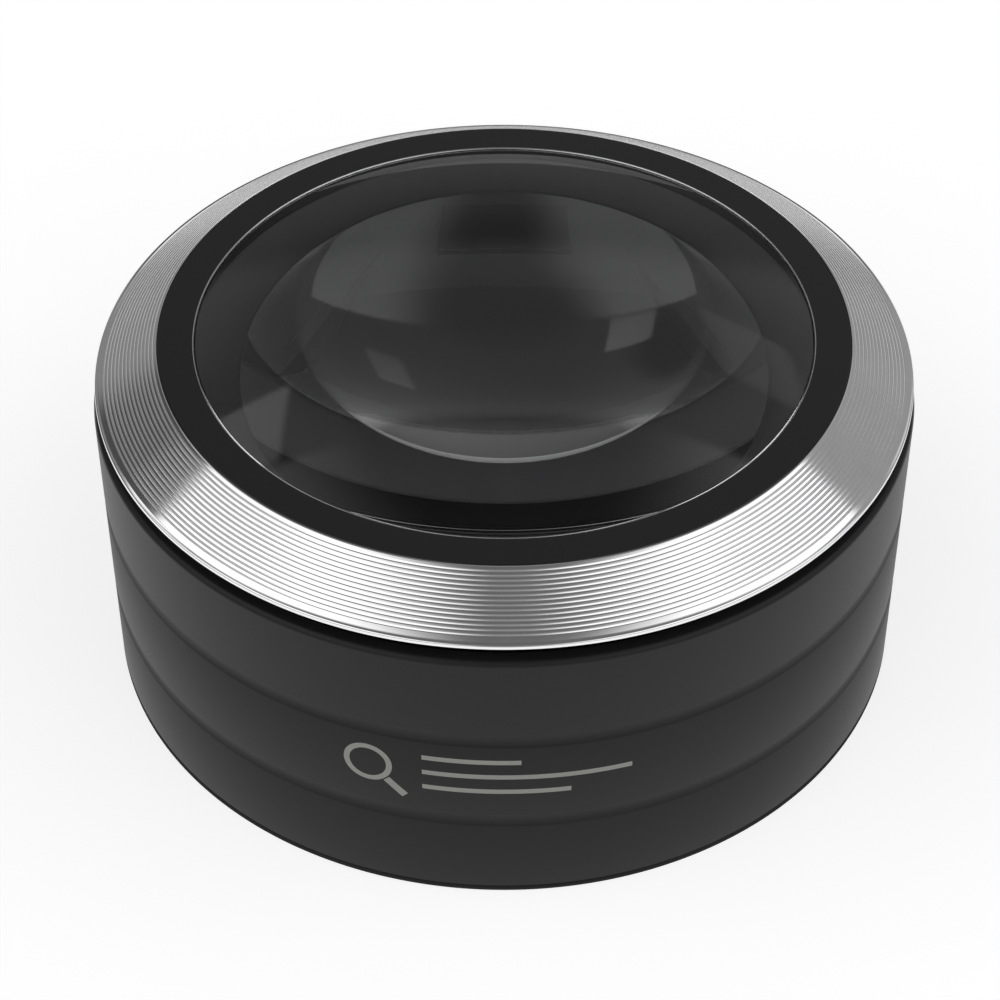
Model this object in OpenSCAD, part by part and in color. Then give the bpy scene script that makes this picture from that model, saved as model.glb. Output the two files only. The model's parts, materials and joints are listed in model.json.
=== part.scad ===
// Low-vision stand magnifier: a domed reading lens in a sprung head, over a round lit base
// that stands on the page. Three cells lie round the viewing well and feed three LEDs.
// Millimetres, +Z up, origin on the resting plane, on the axis of the lens.

/* [Body] */
// Outer radius of the body shell
body_r = 43.5; // [43.3:0.1:44.5]
// Height of the body shell, from its lower edge to its rim
shell_h = 32.7; // [32.5:0.1:34]
// Depth of the two grooves round the body shell
groove_depth = 0.2; // [0.1:0.05:0.4]
// How far the feet stand proud of the shell's lower edge
foot_proud = 0.4; // [0.3:0.1:0.6]

/* [Head] */
// Travel of the head when it is pressed to switch the light
press_travel = 1.2; // [0.6:0.1:1.2]
// Gap between the rim of the body shell and the bezel at rest
head_gap = 1.6; // [1.5:0.1:2]
// Radius of the lens that can be looked through
view_r = 32.5; // [31:0.5:33]
// Outer radius of the black ring round the lens, which is the bezel's inner edge
black_ring_r = 36.4; // [36:0.1:36.6]
// Outer radius of the bezel's lip
bezel_r = 43.2; // [43:0.1:43.4]
// Rise of the bezel's turned cone, from its lip to its inner edge
bezel_rise = 4; // [3.5:0.1:4.5]
// Height of the lens dome above the black ring
dome_h = 6.1; // [4:0.1:7]
// Depth of the lens's straight edge below its flange
edge_h = 6.5; // [5.5:0.1:8.5]
// Depth of the lens's lower face below its straight edge
belly_h = 8.8; // [7:0.1:12.5]
// Number of turned grooves on the bezel's cone
bezel_grooves = 14; // [8:1:20]

/* [Viewing well] */
// Distance from the axis to the three long walls of the viewing well
well_long = 21.4; // [20:0.2:21.4]
// Distance from the axis to the three short walls of the viewing well
well_short = 23.7; // [23:0.1:23.7]
// Turn of the first cell bay about the axis, in degrees
bay_turn = 30; // [0:5:115]

/* [Cells] */
// Radius of a cell
cell_r = 5.25; // [5:0.05:5.25]
// Length of a cell without its nub
cell_body = 43.7; // [43:0.1:43.7]

/* [Battery cover] */
// Radius of the cover's reading opening
cover_hole_r = 23.2; // [22.6:0.2:23.4]
// Angle that the cover is turned through to free it, in degrees
unlock_turn = 14; // [14:1:15]

/* [Hidden] */
$fn = 96;

eps = 0.01;
running = 0.05;             // gap between pieces that are fitted face to face

// Levels of the outside, from the resting plane up
shell_z = foot_proud;
rim_z = shell_z + shell_h;
lip_z = rim_z + head_gap;
lip_h = 0.6;
cone_z = lip_z + lip_h;
cone_r = bezel_r - 0.4;
ring_z = cone_z + bezel_rise;
dome_z = ring_z + dome_h;

// Shell
bore_r = body_r - 1.75;
rim_round = 0.6;
groove_tops = [shell_z + 22.6, shell_z + 11.05];
groove_h = 1.7;
ledge_z = 26.6;
ledge_t = 1.6;
ledge_r = 34.2;

// Three-fold stations inside, as [radius, angle past a bay's middle]
guide_at = [36.8, 0];
board_screw_at = [37, 22];
post_at = [38.4, 49];
switch_at = [36, 60];
led_at = [34.8, 60];

// Circuit board
board_z = 24.4;
board_t = 1.2;
board_top = board_z + board_t;
board_in_r = 31.6;
board_out_r = 40.8;
led_size = [5, 1.6];         // side and height
switch_size = [6, 3.4];      // side and height
switch_well = [1.66, 1.5];   // radius, and height of its bottom over the board
chip_at = [38.1, 87];
chip_size = [4, 5, 1.5];
resistor_at = [[37.6, 79], [37.6, 95]];
resistor_size = [2, 1.2, 0.7];
inductor_at = [37.6, 103];
inductor_size = [4.2, 4.2, 2];
lead_r = 0.65;
lead_at = [[35.4, 71], [38.2, 71]];
lead_low = 11;

// Screws, as [shank radius, head radius, head height]
board_screw = [1, 1.9, 1.2];
tray_screw = [1.25, 2.2, 1.3];
guide_screw = [1.3, 2.3, 1.3];

// Viewing well, whose wall is a hexagon with long and short sides by turns
well_wall = 1;
well_levels = [2.7, 12, 15.2, 24];
funnel_flare = [7.4, 6.8];   // how much wider the long and short sides stand at the top
short_kink = well_levels[1];
long_kink = well_levels[2];
funnel_top = well_levels[3];
window_z = 17;
window_size = [11, 6];
window_tilt = atan(funnel_flare[1] / (funnel_top - short_kink));

// Battery tray and cells
tray_r = 41.3;
tray_low = 3.2;
roof_z = 14.2;
roof_t = 1.2;
roof_top = roof_z + roof_t;
cell_d = 28.7;              // distance from the axis to a cell's middle line
cell_z = tray_low + cell_r;
cell_minus = -21.9;
nub_h = 0.8;
nub_r = 1.9;
cell_plus = cell_minus + cell_body + nub_h;
bay_wall = [22.6, 23.2];
plus_wall = [23.1, 24.1];
minus_wall = [-25.6, -24.6];
bay_depth = 14;
bay_h = roof_z - tray_low + 0.5;
light_port = [24, 10, 14];   // its inner distance from the axis, its depth and its width
contact_size = 7;
coil_r = [2.4, 3.2];
coil_base = 0.4;
pad_size = [6, 24];

// Head
collar_r = 41.6;
collar_in_r = 39.6;
collar_low = 29.8;
seat_r = view_r + 0.3;
dome_r = view_r - 0.15;
dome_edge_z = ring_z - 0.12;
flange_r = view_r + 2;
flange_z = ring_z - 2.1;
flange_t = 1.35;
seat_z = flange_z - 0.55;
web_z = seat_z - 1.55;
bezel_wall = 1.53;          // the bezel's thickness, measured upright
cone_slope = bezel_rise / (cone_r - black_ring_r);
boss_z = 33.2;
spring_r = 2.5;
spring_wire_r = 0.25;
plunger_z = 28.6;
plunger_top = 30.7;

// Battery cover
cover_z = 0.9;
cover_t = 1.4;
cover_r = 41.45;
cover_top = cover_z + cover_t;
neck_r = [38.8, 40];
lug_z = 4.1;
lug_t = 0.9;
lug_half = 8;
lug_at = 18;
hook_r = 40.3;
hook_z = cover_top + 0.6;
hook_span = [-5.5, 9];
stop_w = 2;
grip_r = [29, 33];
grip_half = 11;
grip_depth = 0.8;

// Feet
foot_r = 3.5;
foot_ring = 32.5;

// A radius on a dome of the given rise over the given half-width
function dome_radius(half, rise) = (half * half + rise * rise) / (2 * rise);

// Points on a dome's profile, from its rim to its top; sign +1 rises and -1 hangs
function dome_profile(half, rise, z, sign, steps = 24) =
    let (big = dome_radius(half, rise), edge = asin(half / big))
    [for (i = [0:steps]) let (a = edge * (1 - i / steps))
        [big * sin(a), z + sign * (big * cos(a) - big + rise)]];

// Corners of a hexagon whose sides stand by turns at the two distances from the axis
function hexagon(long, short) =
    let (y = (2 * short - long) / sqrt(3), r = norm([long, y]), a = atan2(y, long))
    [for (i = [0:5]) let (t = bay_turn + 120 * floor(i / 2) + (i % 2 == 0 ? -a : a))
        [r * cos(t), r * sin(t)]];

// Distances from the axis to the well's long and short walls at a level
function well_at(z) = [
    well_long + funnel_flare[0] * max(0, (z - long_kink) / (funnel_top - long_kink)),
    well_short + funnel_flare[1] * max(0, (z - short_kink) / (funnel_top - short_kink))
];

module ring(r_out, r_in, z0, z1) {
    translate([0, 0, z0]) difference() {
        cylinder(r = r_out, h = z1 - z0);
        translate([0, 0, -1]) cylinder(r = r_in, h = z1 - z0 + 2);
    }
}

module peg(r, z0, z1) {
    translate([0, 0, z0]) cylinder(r = r, h = z1 - z0);
}

// A block in cylindrical measures, from one angle to another
module arc_block(r0, r1, z0, z1, a0, a1) {
    rotate([0, 0, a0]) rotate_extrude(angle = a1 - a0)
        translate([r0, z0]) square([r1 - r0, z1 - z0]);
}

// Three copies at an angle past the middle of each bay
module three(angle = 0) {
    for (i = [0:2]) rotate([0, 0, bay_turn + angle + 120 * i]) children();
}

// Three copies at a station
module at(station) {
    three(station[1]) translate([station[0], 0, 0]) children();
}

// A pan-head screw that points up, with a cross recess in its head
module screw_up(size, z0, z1) {
    arm = 0.55 * size[1];
    slot = [0.5, 0.6];
    difference() {
        union() {
            peg(size[1], z0, z0 + size[2]);
            peg(size[0], z0 + size[2] - eps, z1);
        }
        for (a = [0, 90]) rotate([0, 0, a])
            translate([-arm, -slot[0] / 2, z0 - eps]) cube([2 * arm, slot[0], slot[1]]);
    }
}

// A groove in the shell's outer profile, from its top edge down
function groove(z) = [
    [body_r, z],
    [body_r - groove_depth, z - 0.25],
    [body_r - groove_depth, z - groove_h + 0.55],
    [body_r, z - groove_h]
];

// The shell's rounded rim, from its inner side out
function rim_points() = [for (a = [90:-15:0])
    [body_r - rim_round + rim_round * cos(a), rim_z - rim_round + rim_round * sin(a)]];

module body_shell() {
    color([0.2, 0.2, 0.21]) difference() {
        union() {
            rotate_extrude() polygon(concat(
                [[bore_r, shell_z], [bore_r, ledge_z], [ledge_r, ledge_z],
                    [ledge_r, ledge_z + ledge_t], [bore_r, ledge_z + ledge_t], [bore_r, rim_z]],
                rim_points(),
                groove(groove_tops[0]),
                groove(groove_tops[1]),
                [[body_r, shell_z + 0.3], [body_r - 0.3, shell_z]]
            ));
            // Posts for the tray, each tied to the wall by a rib
            at(post_at) {
                peg(2.5, roof_top + running, ledge_z + 0.5);
                translate([0, -0.8, roof_top + running])
                    cube([4, 1.6, ledge_z + 0.5 - roof_top - running]);
            }
            // Stand-offs for the board
            at(board_screw_at) peg(2.4, board_top + running, ledge_z + 0.5);
            // Hooks that carry the cover's lugs, with a stop at each end of their turn
            three(lug_at) {
                arc_block(hook_r, bore_r + 0.5, hook_z, lug_z - 0.15, hook_span[0], hook_span[1]);
                for (a = [lug_half + 0.3, -lug_half - 0.4 - unlock_turn - stop_w])
                    arc_block(hook_r, bore_r + 0.5, hook_z, lug_z + lug_t, a, a + stop_w);
            }
        }
        at(guide_at) peg(1.5, ledge_z - 1, ledge_z + ledge_t + 1);
        at(board_screw_at) peg(1.02, board_z, ledge_z + ledge_t + 1);
        at(post_at) peg(1.27, roof_z, ledge_z - 3);
        three(switch_at[1]) translate([32, -3.5, ledge_z - 1]) cube([7.6, 7, ledge_t + 2]);
    }
}

// A loft through the well's levels, pushed out by a thickness
module well_solid(out, levels) {
    rings = [for (z = levels) let (w = well_at(z))
        [for (p = hexagon(w[0] + out, w[1] + out)) [p[0], p[1], z]]];
    last = len(levels) - 1;
    polyhedron(
        points = [for (r = rings) for (p = r) p],
        faces = concat(
            [[0, 1, 2, 3, 4, 5]],
            [for (k = [0:last - 1]) for (i = [0:5])
                let (a = 6 * k + i, b = 6 * k + (i + 1) % 6) [a, a + 6, b + 6, b]],
            [[for (i = [5:-1:0]) 6 * last + i]]
        )
    );
}

// Places its children in the middle of each window of the well's wall
module at_window() {
    three(led_at[1]) translate([well_at(window_z)[1] + well_wall / 2, 0, window_z])
        rotate([0, window_tilt, 0]) children();
}

module light_funnel() {
    color([0.07, 0.07, 0.08]) difference() {
        union() {
            well_solid(well_wall, well_levels);
            // Tabs that lie on the tray's roof
            three() translate([22, -10, roof_top + running]) cube([9, 20, 1]);
        }
        well_solid(0, [well_levels[0] - eps, short_kink, long_kink, funnel_top + eps]);
        at_window() cube([4, window_size[0], window_size[1]], center = true);
    }
}

module led_windows() {
    color([0.9, 0.92, 0.95]) at_window()
        cube([0.8, window_size[0] - 0.1, window_size[1] - 0.1], center = true);
}

module battery_tray() {
    color([0.12, 0.12, 0.13]) difference() {
        intersection() {
            union() {
                peg(tray_r, roof_z, roof_top);
                three() {
                    translate([bay_wall[0], minus_wall[0], tray_low])
                        cube([bay_wall[1] - bay_wall[0], plus_wall[1] - minus_wall[0], bay_h]);
                    for (w = [minus_wall, plus_wall])
                        translate([bay_wall[0], w[0], tray_low])
                            cube([bay_depth, w[1] - w[0], bay_h]);
                }
            }
            peg(tray_r, 0, roof_top + 1);
        }
        linear_extrude(40) polygon(hexagon(bay_wall[0], well_short + 3.2));
        three(led_at[1]) translate([light_port[0], -light_port[2] / 2, roof_z - 1])
            cube([light_port[1], light_port[2], roof_t + 2]);
        at(post_at) peg(1.4, roof_z - 1, roof_top + 1);
        lead_places() peg(lead_r + 0.25, roof_z - 1, roof_top + 1);
    }
}

module cell(i) {
    rotate([0, 0, bay_turn + 120 * i]) translate([cell_d, 0, cell_z]) rotate([-90, 0, 0]) {
        color([0.16, 0.3, 0.2]) peg(cell_r, cell_minus, cell_minus + cell_body - 8);
        color([0.72, 0.58, 0.36]) peg(cell_r, cell_minus + cell_body - 8, cell_minus + cell_body);
        color([0.8, 0.8, 0.8]) peg(nub_r, cell_minus + cell_body, cell_plus);
    }
}

// Coiled contacts at the cells' minus ends
module contact_springs() {
    coil_reach = cell_minus - minus_wall[1] - 2 * running;
    color([0.82, 0.8, 0.72]) three() translate([cell_d, minus_wall[1] + running, cell_z])
        rotate([-90, 0, 0]) difference() {
            peg(coil_r[1], 0, coil_reach);
            peg(coil_r[0], coil_base, coil_reach + 1);
        }
}

// Flat contacts at the cells' plus ends
module contact_plates() {
    color([0.82, 0.8, 0.72]) three()
        translate([cell_d - contact_size / 2, cell_plus + running, cell_z - contact_size / 2])
            cube([contact_size, plus_wall[0] - cell_plus - 2 * running, contact_size]);
}

module led_board() {
    color([0.1, 0.3, 0.16]) difference() {
        ring(board_out_r, board_in_r, board_z, board_top);
        at(guide_at) peg(3.1, board_z - 1, board_top + 1);
        at(board_screw_at) peg(1.15, board_z - 1, board_top + 1);
        at(post_at) peg(2.9, board_z - 1, board_top + 1);
    }
}

module leds() {
    color([0.95, 0.93, 0.8]) at(led_at)
        translate([-led_size[0] / 2, -led_size[0] / 2, board_z - led_size[1]])
            cube([led_size[0], led_size[0], led_size[1]]);
}

// A block of a size that hangs from the board at one station
module hung_part(station, size) {
    rotate([0, 0, bay_turn + station[1]])
        translate([station[0] - size[0] / 2, -size[1] / 2, board_z - size[2]]) cube(size);
}

// Regulator and the small parts beside it, on the board's underside
module driver_parts() {
    color([0.1, 0.1, 0.1]) {
        hung_part(chip_at, chip_size);
        for (station = resistor_at) hung_part(station, resistor_size);
        hung_part(inductor_at, inductor_size);
    }
}

module tact_switches() {
    color([0.15, 0.15, 0.16]) at(switch_at) difference() {
        translate([-switch_size[0] / 2, -switch_size[0] / 2, board_top])
            cube([switch_size[0], switch_size[0], switch_size[1]]);
        peg(switch_well[0], board_top + switch_well[1], board_top + switch_size[1] + 1);
    }
}

module switch_plungers() {
    color([0.75, 0.1, 0.1]) at(switch_at) peg(1.6, plunger_z, plunger_top);
}

module lead_places() {
    for (l = lead_at) rotate([0, 0, bay_turn + l[1]]) translate([l[0], 0, 0]) children();
}

// The two leads from the tray's contacts up to the board
module battery_leads() {
    color([0.7, 0.08, 0.08]) lead_places() peg(lead_r, lead_low, board_z);
}

module board_screws() {
    color([0.75, 0.75, 0.76]) at(board_screw_at)
        screw_up(board_screw, board_z - board_screw[2], ledge_z + ledge_t - 0.2);
}

module tray_screws() {
    color([0.75, 0.75, 0.76]) at(post_at)
        screw_up(tray_screw, roof_z - tray_screw[2], ledge_z - 3.6);
}

// Return springs between the shell's ledge and the collar's bosses
module return_springs() {
    low = ledge_z + ledge_t;
    color([0.8, 0.8, 0.8]) at(guide_at) ring(spring_r, spring_r - 2 * spring_wire_r,
        low + 0.02, boss_z - 0.02);
}

// Points round the grooves of the bezel's cone, from its lip to its inner edge
function cone_points() =
    let (run = (cone_r - 0.55 - black_ring_r) / bezel_grooves, depth = 0.08)
    [for (i = [0:bezel_grooves - 1]) for (side = [0, 1])
        let (r = cone_r - 0.55 - run * (i + side * 0.5))
        [r, ring_z - cone_slope * (r - black_ring_r) - (side == 1 ? depth : 0)]];

module bezel_ring() {
    under_r = black_ring_r + (ring_z - bezel_wall - lip_z) / cone_slope;
    color([0.86, 0.87, 0.88]) rotate_extrude() polygon(concat(
        [[under_r, lip_z], [bezel_r - 0.15, lip_z], [bezel_r, lip_z + 0.15],
            [bezel_r, cone_z - 0.15], [bezel_r - 0.15, cone_z], [cone_r, cone_z]],
        cone_points(),
        [[black_ring_r, ring_z], [black_ring_r, ring_z - bezel_wall]]
    ));
}

module lens_retaining_ring() {
    color([0.03, 0.03, 0.04]) rotate_extrude() polygon([
        [view_r, flange_z + flange_t + running],
        [view_r, ring_z],
        [black_ring_r - running, ring_z],
        [black_ring_r - running, ring_z - bezel_wall],
        [flange_r + 0.4, ring_z - bezel_wall],
        [flange_r + 0.4, flange_z + flange_t + running]
    ]);
}

module lens() {
    edge_z = flange_z - edge_h;
    color([0.8, 0.88, 0.92, 0.5]) rotate_extrude() polygon(concat(
        [[0, edge_z - belly_h]],
        [for (i = [1:23]) dome_profile(view_r, belly_h, edge_z, -1)[24 - i]],
        [[view_r, edge_z], [view_r, flange_z],
            [flange_r, flange_z], [flange_r, flange_z + flange_t],
            [dome_r, flange_z + flange_t], [dome_r, dome_edge_z]],
        [for (i = [1:23]) dome_profile(dome_r, dome_z - dome_edge_z, dome_edge_z, 1)[i]],
        [[0, dome_z]]
    ));
}

module lens_gasket() {
    color([0.05, 0.05, 0.05])
        ring(flange_r - 0.1, seat_r + 0.2, seat_z + running, flange_z - running);
}

module head_collar() {
    top_z = ring_z - bezel_wall - running;
    under_r = black_ring_r + (ring_z - bezel_wall - lip_z) / cone_slope;
    color([0.04, 0.04, 0.05]) difference() {
        union() {
            rotate_extrude() polygon([
                [collar_r, collar_low], [collar_r, lip_z - running],
                [under_r - 0.1, lip_z - running], [black_ring_r - running, top_z],
                [flange_r + 0.3, top_z], [flange_r + 0.3, seat_z], [seat_r, seat_z],
                [seat_r, web_z], [collar_in_r, web_z], [collar_in_r, collar_low]
            ]);
            at(guide_at) peg(2.9, boss_z, web_z + 0.5);
            at(switch_at) peg(2.2, plunger_top + running, web_z + 0.5);
        }
        at(guide_at) peg(1.02, boss_z - 1, boss_z + 3.1);
    }
}

// Shoulder screws that the head slides on
module guide_screws() {
    color([0.75, 0.75, 0.76]) at(guide_at) {
        screw_up(guide_screw, ledge_z - guide_screw[2] - running, boss_z);
        peg(1, boss_z - eps, boss_z + 3);
    }
}

module battery_cover() {
    color([0.13, 0.13, 0.14]) difference() {
        union() {
            ring(cover_r, cover_hole_r, cover_z, cover_top);
            three(lug_at) {
                arc_block(neck_r[0], neck_r[1], cover_top - 0.2, lug_z + lug_t, -lug_half, lug_half);
                arc_block(neck_r[1] - 0.2, cover_r, lug_z, lug_z + lug_t, -lug_half, lug_half);
            }
        }
        // Finger grips for the turn
        for (a = [0, 180]) rotate([0, 0, a])
            arc_block(grip_r[0], grip_r[1], cover_z - 1, cover_z + grip_depth, -grip_half, grip_half);
    }
}

module cell_pads() {
    color([0.3, 0.3, 0.32]) three()
        translate([cell_d - pad_size[0] / 2, -pad_size[1] / 2, cover_top])
            cube([pad_size[0], pad_size[1], tray_low - cover_top - 0.2]);
}

module rubber_feet() {
    color([0.08, 0.08, 0.08]) for (a = [45:90:315])
        rotate([0, 0, a]) translate([foot_ring, 0, 0]) peg(foot_r, 0, cover_z);
}

body_shell();
light_funnel();
battery_tray();
cell(0);  // cell_1
cell(1);  // cell_2
cell(2);  // cell_3
contact_springs();
contact_plates();
led_board();
leds();
led_windows();
driver_parts();
tact_switches();
battery_leads();
board_screws();
tray_screws();
return_springs();
bezel_ring();
lens_retaining_ring();
lens();
lens_gasket();
head_collar();
guide_screws();
switch_plungers();
battery_cover();
cell_pads();
rubber_feet();
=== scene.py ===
"""The looks of a lit stand magnifier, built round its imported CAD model.

A domed lens sits in a turned aluminium bezel with a gloss black ring. The bezel and its collar
make a sprung head over a satin body that holds a faceted light funnel, three cells, a ring board
with three lamps, and a twist-off cover with four feet. Sizes are in millimetres and are scaled to
metres when a mesh is made. Heights are from the resting plane, on the axis of the lens.
"""

import json
import logging
import math
from dataclasses import dataclass, field
from enum import Enum
from typing import Iterable, Sequence

import bmesh
import bpy
from mathutils import Matrix, Vector

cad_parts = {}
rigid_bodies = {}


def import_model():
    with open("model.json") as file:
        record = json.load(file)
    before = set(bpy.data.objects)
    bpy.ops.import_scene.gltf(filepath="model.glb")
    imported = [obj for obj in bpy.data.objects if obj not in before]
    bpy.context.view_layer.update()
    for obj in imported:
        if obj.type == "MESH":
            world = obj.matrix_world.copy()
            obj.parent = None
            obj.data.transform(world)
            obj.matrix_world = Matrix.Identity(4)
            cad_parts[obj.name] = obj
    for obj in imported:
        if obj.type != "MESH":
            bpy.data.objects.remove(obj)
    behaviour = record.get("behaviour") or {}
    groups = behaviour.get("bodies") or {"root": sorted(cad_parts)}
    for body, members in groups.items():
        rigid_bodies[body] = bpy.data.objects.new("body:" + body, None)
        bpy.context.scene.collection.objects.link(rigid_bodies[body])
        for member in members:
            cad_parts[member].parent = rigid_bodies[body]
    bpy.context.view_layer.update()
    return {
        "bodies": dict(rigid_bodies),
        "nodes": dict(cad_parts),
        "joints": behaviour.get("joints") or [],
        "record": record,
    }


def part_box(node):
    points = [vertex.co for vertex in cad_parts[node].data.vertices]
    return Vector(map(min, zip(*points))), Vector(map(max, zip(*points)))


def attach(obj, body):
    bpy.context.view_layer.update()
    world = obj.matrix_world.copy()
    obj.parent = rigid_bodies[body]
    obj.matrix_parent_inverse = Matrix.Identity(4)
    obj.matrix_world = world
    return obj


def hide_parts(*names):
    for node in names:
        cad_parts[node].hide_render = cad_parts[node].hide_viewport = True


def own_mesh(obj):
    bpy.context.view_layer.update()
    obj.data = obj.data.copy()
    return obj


LOG = logging.getLogger("stand_magnifier")
MM = 0.001

Point2 = tuple[float, float]
Point3 = tuple[float, float, float]
Colour = tuple[float, float, float]
Object, Material, Socket = bpy.types.Object, bpy.types.Material, bpy.types.NodeSocket


class Body(Enum):
    """The three bodies that pieces ride on."""

    BASE = "base"
    HEAD = "head"
    COVER = "cover"


class Slot(Enum):
    """The record's finishes, which each piece names when it is added."""

    BODY_COAT = "body_coat"
    GLOSS_BLACK = "gloss_black"
    TRAY_PLASTIC = "tray_plastic"
    CELL_CAN = "cell_can"
    CONTACT_METAL = "contact_metal"
    LED_BODY = "led_body"
    WINDOW_CLEAR = "window_clear"
    COMPONENT_EPOXY = "component_epoxy"
    LEAD_INSULATION = "lead_insulation"
    SCREW_STEEL = "screw_steel"
    SPRING_STEEL = "spring_steel"
    TURNED_ALUMINIUM = "turned_aluminium"
    RING_BLACK = "ring_black"
    LENS_ACRYLIC = "lens_acrylic"
    GASKET_RUBBER = "gasket_rubber"
    PLUNGER_PLASTIC = "plunger_plastic"
    FOOT_RUBBER = "foot_rubber"


# ---- Finishes ----


class Graph:
    """A material's node tree, with short calls for the nodes that the finishes share."""

    def __init__(self, name: str) -> None:
        """Starts a material with one Principled shader.

        Args:
            name: The material's name.
        """
        self.material = bpy.data.materials.new(name)
        self.material.use_nodes = True
        self.tree = self.material.node_tree
        self.shader = self.tree.nodes["Principled BSDF"]

    def node(self, kind: str, **settings: object) -> bpy.types.Node:
        """Adds a node.

        Args:
            kind: The node's type, without its ShaderNode prefix.
            settings: Properties to set on it.

        Returns:
            The node.
        """
        made = self.tree.nodes.new("ShaderNode" + kind)
        for key, value in settings.items():
            setattr(made, key, value)
        return made

    def feed(self, socket: Socket, value: object) -> None:
        """Links a socket to another's output, or sets its number.

        Args:
            socket: The input socket.
            value: An output socket, a number or a vector.
        """
        if isinstance(value, Socket):
            self.tree.links.new(value, socket)
        else:
            socket.default_value = value

    def place(self, turn: float = 0.0, scale: Point3 = (1, 1, 1)) -> Socket:
        """Object coordinates, turned about the lens's axis and scaled.

        Args:
            turn: The turn in degrees.
            scale: The scale along each axis.

        Returns:
            The coordinates' socket.
        """
        source = self.node("TexCoord").outputs["Object"]
        mapping = self.node("Mapping", vector_type="TEXTURE")
        mapping.inputs["Rotation"].default_value = (0, 0, math.radians(turn))
        mapping.inputs["Scale"].default_value = tuple(1 / s for s in scale)
        self.feed(mapping.inputs["Vector"], source)
        return mapping.outputs["Vector"]

    def math(self, operation: str, a: object, b: object = 0.0) -> Socket:
        """One arithmetic step.

        Args:
            operation: The Math node's operation.
            a: The first value or socket.
            b: The second value or socket.

        Returns:
            The result's socket.
        """
        step = self.node("Math", operation=operation)
        self.feed(step.inputs[0], a)
        self.feed(step.inputs[1], b)
        return step.outputs[0]

    def radius(self) -> Socket:
        """The distance from the lens's axis, in metres."""
        parts = self.node("SeparateXYZ")
        self.feed(parts.inputs[0], self.place())
        squares = [self.math("MULTIPLY", parts.outputs[i], parts.outputs[i]) for i in (0, 1)]
        return self.math("SQRT", self.math("ADD", squares[0], squares[1]))

    def noise(
        self, size: float, detail: float = 3.0, stretch: Point3 = (1, 1, 1)
    ) -> Socket:
        """Noise whose features are about a given size.

        Args:
            size: The features' size in millimetres.
            detail: The number of finer layers.
            stretch: How much the coordinates are scaled along each axis.

        Returns:
            The noise, from 0 to 1.
        """
        made = self.node("TexNoise")
        self.feed(made.inputs["Vector"], self.place(scale=stretch))
        made.inputs["Scale"].default_value = 1 / (size * MM)
        made.inputs["Detail"].default_value = detail
        return made.outputs["Fac"]

    def remap(
        self, value: Socket, before: Point2, after: Point2, smooth: bool = False
    ) -> Socket:
        """Maps one range of a value onto another, and holds it at the ends.

        Args:
            value: The value's socket.
            before: The range that it has.
            after: The range that it gets.
            smooth: Whether the change eases in and out.

        Returns:
            The mapped value's socket.
        """
        mapped = self.node("MapRange", interpolation_type="SMOOTHSTEP" if smooth else "LINEAR")
        self.feed(mapped.inputs["Value"], value)
        for name, number in zip(("From Min", "From Max", "To Min", "To Max"), (*before, *after)):
            mapped.inputs[name].default_value = number
        return mapped.outputs["Result"]

    def spread(self, value: Socket, low: float, high: float) -> Socket:
        """Maps the middle half of a 0 to 1 value onto a range."""
        return self.remap(value, (0.25, 0.75), (low, high))

    def join(self, factor: Socket, a: object, b: object) -> Socket:
        """Mixes two colours or colour sockets.

        Args:
            factor: The share of the second.
            a: The first, with four numbers if it is a colour.
            b: The second, the same way.

        Returns:
            The colour's socket.
        """
        mixed = self.node("Mix", data_type="RGBA")
        self.feed(mixed.inputs["Factor"], factor)
        for name, value in (("A", a), ("B", b)):
            self.feed(next(s for s in mixed.inputs if s.name == name and s.type == "RGBA"), value)
        return next(s for s in mixed.outputs if s.type == "RGBA")

    def blend(self, factor: Socket, a: Colour, b: Colour) -> Socket:
        """Mixes two plain colours, the second by the factor's share."""
        return self.join(factor, (*a, 1), (*b, 1))

    def relief(self, height: Socket, depth: float, strength: float = 1.0) -> None:
        """Raises the surface by a height map.

        Args:
            height: The height, from 0 to 1.
            depth: What a height of 1 stands for, in millimetres.
            strength: The bump's strength.
        """
        bump = self.node("Bump")
        bump.inputs["Strength"].default_value = strength
        bump.inputs["Distance"].default_value = depth * MM
        before = self.shader.inputs["Normal"]
        if before.is_linked:
            self.feed(bump.inputs["Normal"], before.links[0].from_socket)
        self.feed(bump.inputs["Height"], height)
        self.feed(before, bump.outputs["Normal"])

    def set(self, **values: object) -> None:
        """Sets the shader's sockets by name, with underscores for spaces."""
        for key, value in values.items():
            self.feed(self.shader.inputs[key.replace("_", " ")], value)


def shade(colour: Colour, share: float) -> Colour:
    """A colour scaled by a share, kept under 1."""
    return tuple(min(1.0, c * share) for c in colour)


@dataclass(frozen=True)
class Moulding:
    """A moulded or painted plastic with a fine grain and slight mottling."""

    name: str
    colour: Colour
    roughness: float = 0.45
    mottle: float = 0.12
    grain: float = 0.18
    grain_depth: float = 0.004
    specular: float = 0.5
    coat: float = 0.0

    def material(self) -> Material:
        """The finish as a material."""
        graph = Graph(self.name)
        cloud = graph.noise(6.0)
        dark, light = (shade(self.colour, 1 + side * self.mottle) for side in (-1, 1))
        fine = graph.noise(self.grain, detail=2.0)
        graph.set(
            Base_Color=graph.blend(cloud, dark, light),
            Roughness=graph.spread(fine, self.roughness * 0.9, self.roughness * 1.1),
            Specular_IOR_Level=self.specular,
            Coat_Weight=self.coat,
            Coat_Roughness=0.03,
        )
        graph.relief(fine, self.grain_depth, 0.5)
        return graph.material


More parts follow.
